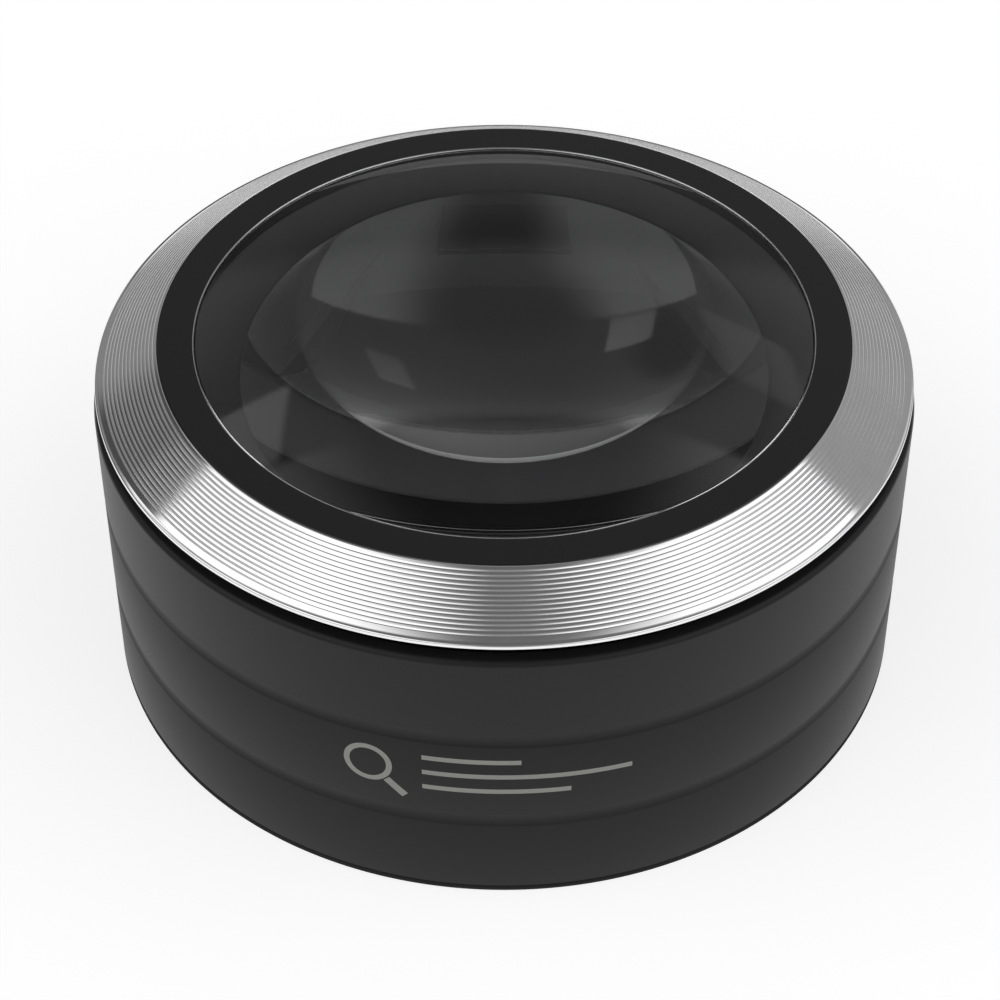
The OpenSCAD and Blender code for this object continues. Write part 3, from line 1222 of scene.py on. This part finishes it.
@dataclass
class Head(Assembly):
    """The sprung head: bezel, black ring, lens, gasket, collar, guide screws and plungers."""

    body: Body = Body.HEAD
    bezel_grooves: int = 14
    groove_band: Point2 = (36.55, 42.3)
    groove_shares: tuple[float, ...] = (0.0, 0.16, 0.33, 0.5, 0.66, 0.75, 0.83, 0.91)
    land: float = 0.62
    crown: float = 0.0045
    groove_depth: float = 0.075
    slope: float = 0.625
    lip_height: float = 0.6
    bezel_wall: float = 1.53
    fit_gap: float = 0.05
    view_radius: float = 32.5
    flange_low: float = 37.2
    flange_high: float = 38.55
    flange_round: float = 0.1
    dome_half: float = 32.35
    dome_edge: float = 39.18
    lens_edge_low: float = 30.7
    split_angle: float = 22.0
    stop_inner: float = 26.0
    ring_chamfer: float = 0.16
    collar_inner: float = 39.6
    spigot_radius: float = 34.8
    web_z: float = 35.1
    root: float = 0.3
    seat_z: float = 36.65
    seat_radius: float = 32.8
    boss: Point2 = (2.9, 1.02)
    boss_low: float = 33.2
    pusher_radius: float = 2.2
    pusher_low: float = 30.75
    plunger_radius: float = 1.6

    def groove_sink(self, share: float) -> float:
        """How far the bezel's surface lies under the plain cone.

        Args:
            share: The place in one groove's pitch, from 0 to 1.

        Returns:
            The depth, first of the crowned land and then of the groove.
        """
        if share <= self.land:
            return self.crown * (2 * share / self.land - 1) ** 2
        wave = math.sin(math.pi * (share - self.land) / (1 - self.land))
        return self.crown + self.groove_depth * wave**2

    def bezel(self) -> Object:
        """The turned aluminium cone with its grooves."""
        box = Extent.of("bezel_ring")
        inner = Extent.of("lens_retaining_ring").radius + self.fit_gap
        top, outer, low = box.high.z, box.radius, box.low.z
        cone_low, cone_edge = low + self.lip_height, outer - 0.4
        start, end = self.groove_band
        pitch = (end - start) / self.bezel_grooves
        cone = [(start + pitch * (i + share), self.groove_sink(share))
                for i in range(self.bezel_grooves) for share in self.groove_shares]
        cone += [(end, 0), (end + 0.04, 0), (cone_edge - 0.05, 0)]
        profile = [(inner, top - 0.06), (inner + 0.03, top - 0.01)]
        profile += [(radius, top - self.slope * (radius - inner) - sink) for radius, sink in cone]
        profile += [(cone_edge + 0.06, cone_low - 0.05)]
        profile += arc((outer - 0.2, cone_low - 0.26), 0.2, 75, 0, 5)
        profile += arc((outer - 0.12, low + 0.12), 0.12, 0, -90, 4)
        under = inner + (top - self.bezel_wall - low) / self.slope
        profile += [(under, low), (inner, top - self.bezel_wall)]
        return turned("bezel", profile, steps=360)

    def black_ring(self) -> Object:
        """The flat gloss ring that holds the lens, with a chamfered inner edge."""
        box = Extent.of("lens_retaining_ring")
        outer, top, low = box.radius, box.high.z, box.low.z
        flange, seat = Extent.of("lens").radius + 0.4, self.flange_high + self.fit_gap
        inner, chamfer = self.view_radius, self.ring_chamfer
        profile = [
            (inner, top - chamfer), (inner + chamfer, top), (outer - 0.08, top), (outer, top - 0.08),
            (outer, low), (flange, low), (flange, seat), (inner, seat),
        ]
        return turned("black_ring", profile, steps=256, edge=0.03)

    def bright_edge(self) -> Object:
        """The bare metal that shows where the ring's inner chamfer is cut."""
        top, inner, chamfer = Extent.of("lens_retaining_ring").high.z, self.view_radius, self.ring_chamfer
        lift = 0.015
        profile = [
            (inner, top - chamfer + lift), (inner + chamfer - lift, top),
            (inner + chamfer + 0.02, top - 0.06), (inner + 0.06, top - chamfer - 0.02),
        ]
        return turned("ring_bright_edge", profile, steps=256)

    def lens(self) -> Object:
        """The magnifying lens: a dome above, a straight edge and a round belly below."""
        box = Extent.of("lens")
        flange, rounding = box.radius, self.flange_round
        dome = cap_radius(self.dome_half, box.high.z - self.dome_edge)
        belly = cap_radius(self.view_radius, self.lens_edge_low - box.low.z)
        dome_turn, belly_turn = cap_turn(self.dome_half, dome), cap_turn(self.view_radius, belly)
        profile = arc((0, box.high.z - dome), dome, 90, 90 - dome_turn, 48)
        profile += [(self.dome_half, self.flange_high), (flange - rounding, self.flange_high)]
        profile += [(flange, self.flange_high - rounding), (flange, self.flange_low + rounding)]
        profile += [(flange - rounding, self.flange_low), (self.view_radius, self.flange_low)]
        profile += arc((0, box.low.z + belly), belly, belly_turn - 90, -90, 48)
        profile[0], profile[-1] = (0, box.high.z), (0, box.low.z)
        blank = turned("lens_blank", profile, steps=256)
        blank.modifiers.new("Crisp edges", "EDGE_SPLIT").split_angle = math.radians(self.split_angle)
        return blank

    def edge_paint(self) -> Object:
        """The black paint on the lens's straight edge, sunk a little way into the acrylic."""
        outer, inner = self.view_radius + 0.02, self.view_radius - 0.15
        paint = tube(outer, inner, self.lens_edge_low + 0.12, self.flange_low - 0.02)
        return turned("lens_edge_paint", paint, steps=256)

    def rim_stop(self) -> Object:
        """The painted band round the rim of the lens's lower face."""
        low = Extent.of("lens").low.z
        belly = cap_radius(self.view_radius, self.lens_edge_low - low)
        start, end = (cap_turn(r, belly) for r in (self.stop_inner, self.view_radius - 0.05))
        above = arc((0, low + belly), belly - 0.1, start - 90, end - 90, 12)
        below = arc((0, low + belly), belly + 0.06, end - 90, start - 90, 12)
        return turned("lens_rim_stop", above[::-1] + below[::-1], steps=256)

    def collar(self) -> Object:
        """The gloss collar that slides in the sleeve, under the bezel."""
        box, bezel, ring = (Extent.of(node) for node in ("head_collar", "bezel_ring", "lens_retaining_ring"))
        outer, low, top = box.radius, box.low.z, box.high.z
        step, spigot, seat = bezel.low.z - self.fit_gap, self.spigot_radius, self.seat_radius
        under = ring.radius + self.fit_gap + (bezel.high.z - self.bezel_wall - bezel.low.z) / self.slope
        profile = [
            (seat, self.seat_z), (spigot, self.seat_z), (spigot, top), (ring.radius, top),
            (under - 0.1, step), (outer, step), (outer, low), (self.collar_inner, low),
            (self.collar_inner, self.web_z), (seat, self.web_z),
        ]
        return turned("head_collar_tube", profile, steps=256, edge=0.08)

    def gasket(self) -> Object:
        """The soft ring under the lens's flange."""
        box, seat = Extent.of("lens_gasket"), self.seat_radius
        outer, low, high = box.radius, box.low.z, box.high.z
        middle, quarter = (high + low) / 2, (high - low) / 4
        profile = [
            (outer - 0.15, high), (outer, middle + quarter), (outer, middle - quarter), (outer - 0.15, low),
            (seat + 0.35, low), (seat + 0.2, middle), (seat + 0.35, high),
        ]
        return turned("gasket_ring", profile, steps=192)

    def build(self) -> None:
        """Builds the head's pieces."""
        looks = self.looks
        for obj, finish, slot, *nodes in (
            (self.bezel(), looks.aluminium, Slot.TURNED_ALUMINIUM, "bezel_ring"),
            (self.black_ring(), looks.ring, Slot.RING_BLACK, "lens_retaining_ring"),
            (self.bright_edge(), looks.cut_edge, Slot.TURNED_ALUMINIUM),
            (self.lens(), looks.lens, Slot.LENS_ACRYLIC, "lens"),
            (self.edge_paint(), looks.edge_paint, Slot.RING_BLACK),
            (self.rim_stop(), looks.rim_paint, Slot.RING_BLACK),
            (self.collar(), looks.collar, Slot.GLOSS_BLACK, "head_collar"),
            (self.gasket(), looks.gasket, Slot.GASKET_RUBBER, "lens_gasket"),
        ):
            self.add(obj, finish, slot, *nodes)
        root = self.web_z + self.root
        for k, place in enumerate(self.at.places(self.at.guide), 1):
            boss = turned(f"guide_boss_{k}", tube(*self.boss, self.boss_low, root), 40, edge=0.15)
            self.add(boss, looks.collar, Slot.GLOSS_BLACK, place=place)
        stems = Extent.of("switch_plungers")
        for k, place in enumerate(self.at.places(self.at.switch), 1):
            pusher = turned(f"switch_pusher_{k}", rod(self.pusher_radius, self.pusher_low, root), 40, 0.25)
            self.add(pusher, looks.collar, Slot.GLOSS_BLACK, place=place)
            stem = turned(f"plunger_{k}", rod(self.plunger_radius, stems.low.z, stems.high.z), 32, 0.25, 3)
            self.add(stem, looks.plunger, Slot.PLUNGER_PLASTIC, "switch_plungers", place=place)


@dataclass
class Fasteners(Assembly):
    """The cross-recess screws and the head's return springs."""

    thread_pitch: float = 0.4
    thread_lead: float = 0.3
    recess: tuple[float, float, float] = (0.55, 0.25, 0.6)
    shoulder_top: float = 33.2
    spring_radius: float = 2.25
    spring_wire: float = 0.25
    spring_turns: float = 5.0
    pressed_share: float = 0.76

    def screw(self, head: Point2, shank: Sequence[Point2], thread: Point3) -> Object:
        """A pan-head screw that points up from a height of zero.

        Args:
            head: The head's radius and height.
            shank: Steps (radius, top) of the plain shank above the head.
            thread: The thread's radius, bottom and top.

        Returns:
            The screw, settled.
        """
        (head_r, head_h), (thread_r, thread_low, thread_high) = head, thread
        pitch, lead = self.thread_pitch, self.thread_lead
        profile = [(0, thread_high), (thread_r * 0.6, thread_high)]
        for i in range(int((thread_high - thread_low - lead) / pitch)):
            z = thread_high - lead - pitch * i
            profile += [(thread_r, z), (thread_r * 0.82, z - pitch / 2)]
        profile += reversed(shank)
        profile += [(shank[0][0] if shank else thread_r * 0.9, head_h)]
        for share, height in ((0.97, 1.0), (1.0, 0.75), (1.0, 0.45), (0.9, 0.12), (0.6, 0.0), (0.0, 0.0)):
            profile += [(head_r * share, head_h * height)]
        body = settle(turned("screw", profile, 40, 0.04))
        arm, half, depth = head_r * self.recess[0], self.recess[1], self.recess[2]
        arms = ((arm, half), (half, arm))
        carve(body, [block("cut", (-x, -y, -0.3), (x, y, depth)) for x, y in arms])
        return body

    def screws(self) -> None:
        """The three screws of each kind, with their heads down."""
        shoulder = self.shoulder_top - Extent.of("guide_screws").low.z
        for name, head, shank, thread, station, body in (
            ("board_screw", (1.9, 1.2), [], (1.0, 1.3), self.at.board_screw, Body.BASE),
            ("tray_screw", (2.2, 1.3), [], (1.25, 1.4), self.at.post, Body.BASE),
            ("guide_screw", (2.3, 1.3), [(1.3, shoulder)], (1.0, shoulder), self.at.guide, Body.HEAD),
        ):
            node = f"{name}s"
            box = Extent.of(node)
            screw = self.screw(head, shank, (*thread, box.high.z - box.low.z))
            for k, place in enumerate(self.at.places(station, box.low.z), 1):
                made = copy_to(screw, f"{name}_{k}", place)
                self.shop.fit(made, self.looks.screw, body, Slot.SCREW_STEEL, [node])
            drop(screw)

    def springs(self) -> None:
        """The three return springs, with close-wound turns at each end."""
        box, thick = Extent.of("return_springs"), self.spring_wire
        low, high = box.low.z + thick, box.high.z - thick
        count, closed, free = 28, 0.9, self.spring_turns + 0.2
        snug = 2 * thick * 0.9
        points = []
        for i in range(int(count * (self.spring_turns + 2)) + 1):
            turns = i / count
            climb = min(max(turns - closed, 0.0), free) / free
            ends = min(turns, closed) + max(turns - 1.1 - self.spring_turns, 0.0)
            z = low + snug * ends + (high - low - 1.8 * snug) * climb
            points.append(polar(self.spring_radius, 360 * turns, min(z, high)))
        for k, place in enumerate(self.at.places(self.at.guide), 1):
            coil = wire(f"return_spring_{k}", carried(points, place), thick)
            self.add(coil, self.looks.spring, Slot.SPRING_STEEL, "return_springs")
            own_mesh(coil)

    def build(self) -> None:
        """Builds the screws and springs."""
        self.screws()
        self.springs()


@dataclass
class PowerPack(Assembly):
    """The tray, the three cells, their contacts and leads."""

    cell_distance: float = 28.7
    cell_height: float = 8.45
    cell_radius: float = 5.25
    jacket: float = 0.12
    cell_start: float = -21.9
    cell_length: float = 43.7
    nub: Point2 = (1.9, 0.8)
    band_start: float = 35.7
    coil_start: float = -24.55
    coil_turns: float = 4.0
    coil_wire: float = 0.2
    coil_radii: Point2 = (3.0, 1.4)
    lead_radii: Point2 = (35.4, 38.2)
    lead_turn: float = 71.0
    lead_radius: float = 0.62
    lead_low: float = 11.0
    lead_sway: float = 0.35

    def along(self, turn: float, start: float) -> Matrix:
        """A place on a cell's middle line, with +Z along the cell.

        Args:
            turn: The bay's angle.
            start: The distance past the bay's middle.

        Returns:
            The place.
        """
        lie = Matrix.Rotation(math.radians(-90), 4, "X")
        spot = Matrix.Translation((self.cell_distance, start, self.cell_height))
        return Matrix.Rotation(math.radians(turn), 4, "Z") @ spot @ lie

    def cell(self, k: int, turn: float) -> None:
        """One cell: its steel can, its jacket and the band at its plus end.

        Args:
            k: The cell's number.
            turn: Its bay's angle.
        """
        place, r, length = self.along(turn, self.cell_start), self.cell_radius, self.cell_length
        nub_r, nub_h = self.nub
        inner = r - self.jacket
        can = [
            (0, length + nub_h), (nub_r, length + nub_h), (nub_r, length), (inner - 1.4, length - 0.05),
            (inner - 0.9, length - 0.35), (inner - 0.3, length - 0.2), (inner, length - 0.5),
            (inner, 0.3), (inner - 0.4, 0.0), (2.2, 0.0), (2.0, 0.15), (0, 0.15),
        ]
        body = turned(f"cell_{k}_can", can, 64, 0.12)
        self.add(body, self.looks.can, Slot.CELL_CAN, f"cell_{k}", place=place)
        for name, low, high, finish in (
            ("jacket", 0.15, self.band_start, self.looks.jacket),
            ("band", self.band_start, length - 0.3, self.looks.jacket_band),
        ):
            sleeve = turned(f"cell_{k}_{name}", tube(r, inner, low, high), 96, 0.03)
            self.add(sleeve, finish, Slot.CELL_CAN, place=place)

    def contact_coil(self, k: int, turn: float) -> None:
        """The coned spring at a cell's minus end.

        Args:
            k: The coil's number.
            turn: Its bay's angle.
        """
        thick, (radius, taper) = self.coil_wire, self.coil_radii
        climb = self.cell_start - self.coil_start - 2 * thick - 0.03
        points = [
            polar(radius - taper * share, 360 * self.coil_turns * share, thick + climb * share)
            for share in even(0, 1, int(self.coil_turns * 28))
        ]
        coil = wire(f"contact_coil_{k}", carried(points, self.along(turn, self.coil_start)), thick)
        self.add(coil, self.looks.contact, Slot.CONTACT_METAL, "contact_springs")

    def leads(self) -> None:
        """The red and black leads from the tray up to the board."""
        rise = Extent.of("battery_leads").high.z - self.lead_low
        finishes = (self.looks.red_lead, self.looks.black_lead)
        for name, radius, finish in zip(("red", "black"), self.lead_radii, finishes):
            points = []
            for share in even(0, 1, 24):
                side = self.lead_sway * math.sin(math.pi * share) * math.sin(2 * math.pi * share)
                points.append((0, side, self.lead_low + rise * share))
            place = stand(radius, self.at.bay_turn + self.lead_turn)
            lead = wire(f"{name}_lead", carried(points, place), self.lead_radius)
            self.add(lead, finish, Slot.LEAD_INSULATION, "battery_leads")

    def build(self) -> None:
        """Builds the power pack's pieces."""
        self.shop.keep(self.frame, "battery_tray", self.looks.tray)
        self.shop.keep(self.frame, "contact_plates", self.looks.contact)
        for k, turn in enumerate(self.at.turns(), 1):
            self.cell(k, turn)
            self.contact_coil(k, turn)
        self.leads()


@dataclass
class LampBoard(Assembly):
    """The ring board with its lamps, switches and driver parts."""

    board_low: float = 24.4
    board_high: float = 25.6
    lamp_half: float = 2.5
    lamp_drop: float = 1.6
    switch_half: float = 3.0
    switch_height: float = 3.4
    switch_bore: float = 1.75
    cover_height: float = 0.35
    rivet_radius: float = 0.45
    rivet_at: float = 2.25
    chip: Point2 = (38.1, 87.0)
    resistors: tuple[Point2, ...] = ((37.6, 79.0), (37.6, 95.0))
    inductor: Point2 = (37.6, 103.0)

    def legs(
        self, name: str, low: Point3, high: Point3, edge: float, count: int, pitch: float, place: Matrix
    ) -> None:
        """Adds a component's legs, in a row along Y that is mirrored across X.

        Args:
            name: The legs' name.
            low: The first leg's lowest corner.
            high: Its highest corner.
            edge: The width of the rounding on its edges.
            count: The number of legs on a side.
            pitch: The distance from one to the next.
            place: The component's place.
        """
        leg = block(name, low, high, edge)
        row = leg.modifiers.new("Row", "ARRAY")
        row.count = count
        row.use_relative_offset = False
        row.use_constant_offset = True
        row.constant_offset_displace = (0, pitch * MM, 0)
        leg.modifiers.new("Both sides", "MIRROR").merge_threshold = 0.001 * MM
        self.add(leg, self.looks.contact, Slot.CONTACT_METAL, place=place)

    def lamp(self, k: int, place: Matrix) -> None:
        """One lamp under the board: its case, its phosphor and its six legs.

        Args:
            k: The lamp's number.
            place: Its place on the axis of the board's plane.
        """
        low, top, half = self.board_low - self.lamp_drop, self.board_low, self.lamp_half
        case = settle(block(f"lamp_{k}_case", (-half, -half, low), (half, half, top)))
        pocket = [(0, low + 0.5), (1.5, low + 0.5), (2.0, low - 0.2), (0, low - 0.2)]
        carve(case, [settle(turned("cut", pocket, 40))])
        soften(case, 0.12)
        self.add(case, self.looks.lamp_case, Slot.LED_BODY, "leds", place=place)
        fill = [(0, low + 0.48), (1.48, low + 0.48), (1.85, low + 0.12), (1.2, low + 0.05), (0, low + 0.03)]
        self.add(turned(f"lamp_{k}_phosphor", fill, 40), self.looks.phosphor, Slot.LED_BODY, place=place)
        corners = ((half - 0.05, -2.1, top - 0.7), (half + 0.12, -1.3, top))
        self.legs(f"lamp_{k}_legs", *corners, 0.05, 3, 1.7, place)

    def switch(self, k: int, place: Matrix) -> None:
        """One push switch on the board: its base, its metal cover and the cover's rivets.

        Args:
            k: The switch's number.
            place: Its place.
        """
        low, high, half = self.board_high, self.board_high + self.switch_height, self.switch_half
        seam, looks = high - self.cover_height, self.looks
        for name, ends, hole, edge, finish, slot, *nodes in (
            ("base", (low, seam), (low + 1.4, high), 0.15,
             looks.epoxy, Slot.COMPONENT_EPOXY, "tact_switches"),
            ("cover", (seam, high), (low, high + 1), 0.08, looks.can, Slot.CONTACT_METAL),
        ):
            part = settle(block(f"switch_{k}_{name}", (-half, -half, ends[0]), (half, half, ends[1])))
            carve(part, [settle(turned("cut", rod(self.switch_bore, *hole), 32))])
            soften(part, edge)
            self.add(part, finish, slot, *nodes, place=place)
        pin = rod(self.rivet_radius, low - 0.01, high - 0.3)
        for j, (x, y) in enumerate(((-1, -1), (1, -1), (1, 1), (-1, 1)), 1):
            corner = place @ Matrix.Translation((x * self.rivet_at, y * self.rivet_at, 0.28))
            rivet = turned(f"switch_{k}_rivet_{j}", pin, 20, 0.1)
            self.add(rivet, looks.epoxy, Slot.COMPONENT_EPOXY, place=corner)

    def component(
        self, name: str, half: Point2, drop: Point2, edge: float, place: Matrix, *nodes: str
    ) -> None:
        """Adds a dark moulded component under the board.

        Args:
            name: Its name.
            half: Its half sizes along X and Y.
            drop: How far its lower and upper face lie under the board's lower face.
            edge: The width of the rounding on its edges.
            place: Its place.
            nodes: The CAD nodes that it replaces.
        """
        low, high = (self.board_low - d for d in drop)
        core = block(name, (-half[0], -half[1], low), (half[0], half[1], high), edge)
        self.add(core, self.looks.epoxy, Slot.COMPONENT_EPOXY, *nodes, place=place)

    def driver(self) -> None:
        """The regulator, two small resistors and the inductor under the board."""
        top, start = self.board_low, self.at.bay_turn
        place = stand(self.chip[0], start + self.chip[1])
        self.component("regulator", (1.9, 2.5), (1.5, 0.1), 0.12, place, "driver_parts")
        corners = ((1.8, -2.1, top - 0.5), (2.4, -1.7, top - 0.02))
        self.legs("regulator_legs", *corners, 0.04, 4, 1.27, place)
        for k, (radius, turn) in enumerate(self.resistors, 1):
            place = stand(radius, start + turn)
            self.component(f"resistor_{k}", (0.7, 0.6), (0.7, 0.02), 0.06, place)
            for side, x in (("a", -1.0), ("b", 0.66)):
                corners = ((x, -0.61, top - 0.71), (x + 0.34, 0.61, top - 0.01))
                cap = block(f"resistor_{k}_end_{side}", *corners, 0.05)
                self.add(cap, self.looks.contact, Slot.CONTACT_METAL, place=place)
        place = stand(self.inductor[0], start + self.inductor[1])
        self.component("inductor", (2.1, 2.1), (2, 0.05), 0.4, place)

    def build(self) -> None:
        """Builds the board's pieces."""
        self.shop.keep(self.frame, "led_board", self.looks.board)
        for k, place in enumerate(self.at.places(self.at.lamp), 1):
            self.lamp(k, place)
        for k, place in enumerate(self.at.places(self.at.switch), 1):
            self.switch(k, place)
        self.driver()


@dataclass
class Underside(Assembly):
    """The twist-off battery cover, its pads and the four feet."""

    body: Body = Body.COVER
    hole_radius: float = 23.2
    plate_height: float = 1.4
    neck: Point2 = (38.8, 40.0)
    lug_half: float = 8.0
    lug_turn: float = 18.0
    lug_heights: Point2 = (4.1, 5.0)
    grip: Point2 = (29.0, 33.0)
    grip_half: float = 11.0
    grip_depth: float = 0.8
    ribs: int = 6
    rib_half: float = 0.7
    foot_ring: float = 32.5
    foot_radius: float = 3.5

    def plate(self) -> Object:
        """The cover's plate, with two finger grips sunk in it."""
        box = Extent.of("battery_cover")
        low = box.low.z
        profile = tube(box.radius, self.hole_radius, low, low + self.plate_height)
        plate = settle(turned("cover_plate", profile, 144))
        depth = (low - 1, low + self.grip_depth)
        spans = [(turn - self.grip_half, turn + self.grip_half) for turn in (0, 180)]
        carve(plate, [arc_block("cut", self.grip, depth, span) for span in spans])
        soften(plate, 0.18, 3)
        return plate

    def moulded(self, obj: Object, *nodes: str) -> None:
        """Adds one of the cover's moulded pieces."""
        self.add(obj, self.looks.cover, Slot.TRAY_PLASTIC, *nodes)

    def build(self) -> None:
        """Builds the cover, its lugs, grips, pads and feet."""
        box = Extent.of("battery_cover")
        low, high = box.low.z, box.low.z + self.plate_height
        self.moulded(self.plate(), "battery_cover")
        for k, turn in enumerate(self.at.turns(self.lug_turn), 1):
            span = (turn - self.lug_half, turn + self.lug_half)
            heights = (high - 0.15, self.lug_heights[1])
            self.moulded(arc_block(f"cover_neck_{k}", self.neck, heights, span, 0.1))
            radii = (self.neck[1] - 0.2, box.radius)
            self.moulded(arc_block(f"cover_lug_{k}", radii, self.lug_heights, span, 0.1))
        radii, heights = (self.grip[0] - 0.1, self.grip[1] + 0.1), (low + 0.2, low + 0.85)
        for side, turn in (("a", 0), ("b", 180)):
            for k in range(self.ribs):
                middle = turn - self.grip_half + 2 * self.grip_half * (k + 0.5) / self.ribs
                span = (middle - self.rib_half, middle + self.rib_half)
                self.moulded(arc_block(f"grip_rib_{side}{k + 1}", radii, heights, span, 0.12, step=0.7))
        self.shop.keep(self.frame, "cell_pads", self.looks.foam)
        top, r = Extent.of("rubber_feet").high.z, self.foot_radius
        profile = [(0, top), (r, top), (r, 0.25), (r - 0.3, 0.0), (r - 0.9, 0.0), (r - 1.2, 0.12), (0, 0.12)]
        for k in range(4):
            foot = turned(f"foot_{k + 1}", profile, 48, 0.08)
            place = stand(self.foot_ring, 45 + 90 * k)
            self.add(foot, self.looks.foot, Slot.FOOT_RUBBER, "rubber_feet", place=place)


# ---- The studio ----


@dataclass(frozen=True)
class SkyPanel:
    """A broad soft light overhead, given by its edges as slopes from the object.

    An edge at 0.5 stands half as far to the side as it is high. The inner edge fades over a
    range of slopes and the others are crisp. The slant moves the inner edge outwards with the
    slope to the back.
    """

    side: float
    fade: Point2
    outer: float
    back: float
    front: float
    strength: float
    slant: float = 0.0


@dataclass
class Studio:
    """The table, the lights and the camera."""

    shop: Workshop
    panels: tuple[SkyPanel, ...] = (
        SkyPanel(-1, (0.07, 0.52), 2.3, 0.43, 2.5, 0.98, 0.6),
        SkyPanel(1, (0.15, 0.66), 2.3, 0.48, 2.5, 0.95, 0.3),
        SkyPanel(-1, (0.58, 0.62), 1.0, 0.8, -0.5, 0.8),
        SkyPanel(1, (0.6, 0.7), 0.95, 1.4, -0.95, 0.3),
    )
    horizon: Point2 = (0.02, 0.1)
    room_left: float = 0.23
    room_right: float = 0.3
    room_turn: Point2 = (-0.35, 0.35)
    side_walls: Point2 = (0.35, 0.75)
    far_wall: float = 0.35
    far_band: Point2 = (0.94, 0.84)
    dim_corner: Point3 = (-0.76, 0.47, 0.45)
    corner_band: Point2 = (0.94, 0.985)
    corner_share: float = 0.7
    overhead: float = 0.5
    overhead_band: Point2 = (0.8, 0.95)
    camera_place: Point3 = (0.0, -227.55, 221.0)
    camera_pitch: float = 47.81
    camera_lens: float = 99.62
    camera_shift: float = -0.0042
    table_reach: float = 3000.0

    def ramp(self, graph: Graph, value: object, edges: Point2) -> Socket:
        """A smooth step from 0 to 1 between two values."""
        rising = float(edges[0] < edges[1])
        return graph.remap(value, (min(edges), max(edges)), (1.0 - rising, rising), smooth=True)

    def dimmed(self, graph: Graph, light: object, mask: object, share: float) -> Socket:
        """Takes a share of the light away where a mask is 1."""
        lost = graph.math("MULTIPLY", mask, share)
        return graph.math("MULTIPLY", light, graph.math("SUBTRACT", 1.0, lost))

    def sky(self) -> None:
        """Soft room light with broad panels overhead."""
        world = bpy.data.worlds.new("studio")
        bpy.context.scene.world = world
        world.use_nodes = True
        graph = Graph.__new__(Graph)
        graph.tree = world.node_tree
        background = graph.tree.nodes["Background"]
        parts = graph.node("SeparateXYZ")
        graph.feed(parts.inputs[0], graph.node("TexCoord").outputs["Generated"])
        x, y, z = parts.outputs
        height = graph.math("MAXIMUM", z, self.horizon[0])
        across, along = graph.math("DIVIDE", x, height), graph.math("DIVIDE", y, height)
        room = graph.math("MULTIPLY", self.ramp(graph, x, self.room_turn), self.room_right - self.room_left)
        total = graph.math("ADD", room, self.room_left)
        sideways = self.ramp(graph, graph.math("ABSOLUTE", x), self.side_walls)
        lit = graph.math("MAXIMUM", sideways, self.ramp(graph, y, self.far_band))
        total = graph.math("MULTIPLY", total, graph.math("MAXIMUM", lit, self.far_wall))
        sides = [graph.math("MULTIPLY", axis, share) for axis, share in zip((x, y, z), self.dim_corner)]
        towards = graph.math("ADD", sides[0], graph.math("ADD", sides[1], sides[2]))
        total = self.dimmed(graph, total, self.ramp(graph, towards, self.corner_band), self.corner_share)
        total = self.dimmed(graph, total, self.ramp(graph, z, self.overhead_band), 1 - self.overhead)
        for panel in self.panels:
            out = graph.math("MULTIPLY", across, panel.side)
            lean = graph.math("MULTIPLY", graph.math("MAXIMUM", along, 0.0), panel.slant)
            mask = self.ramp(graph, graph.math("SUBTRACT", out, lean), panel.fade)
            for value, edges in (
                (out, (panel.outer + 0.1, panel.outer)),
                (along, (panel.back + 0.03, panel.back - 0.03)),
                (along, (-panel.front - 0.1, -panel.front)),
                (z, self.horizon),
            ):
                mask = graph.math("MULTIPLY", mask, self.ramp(graph, value, edges))
            total = graph.math("ADD", total, graph.math("MULTIPLY", mask, panel.strength))
        graph.feed(background.inputs["Strength"], total)
        background.inputs["Color"].default_value = (1, 1, 1, 1)

    def table(self) -> None:
        """The pale table that the object stands on."""
        reach = self.table_reach
        corners = [(-reach, -reach, 0), (reach, -reach, 0), (reach, reach, 0), (-reach, reach, 0)]
        table = new_mesh("table", corners, [(0, 1, 2, 3)])
        self.shop.dress(table, self.shop.finishes.table)

    def camera(self) -> None:
        """The camera, at a reader's height in front of the object."""
        data = bpy.data.cameras.new("camera")
        data.lens = self.camera_lens
        data.sensor_width = 36.0
        data.shift_x = self.camera_shift
        data.clip_start = 0.01
        camera = into_scene("camera", data)
        camera.location = Vector(self.camera_place) * MM
        camera.rotation_euler = (math.radians(self.camera_pitch), 0, 0)
        bpy.context.scene.camera = camera

    def build(self) -> None:
        """Builds the studio."""
        self.camera()
        self.table()
        self.sky()
        bpy.context.scene.view_settings.view_transform = "Standard"


def main() -> None:
    """Builds the magnifier round its frame."""
    logging.basicConfig(level=logging.INFO, format="%(name)s: %(message)s")
    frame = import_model()
    shop = Workshop()
    Studio(shop).build()
    assemblies = (BodyShell, Funnel, Head, Fasteners, PowerPack, LampBoard, Underside, ReadingMark)
    for assembly in assemblies:
        assembly(shop, frame).build()


if __name__ == "__main__":
    main()
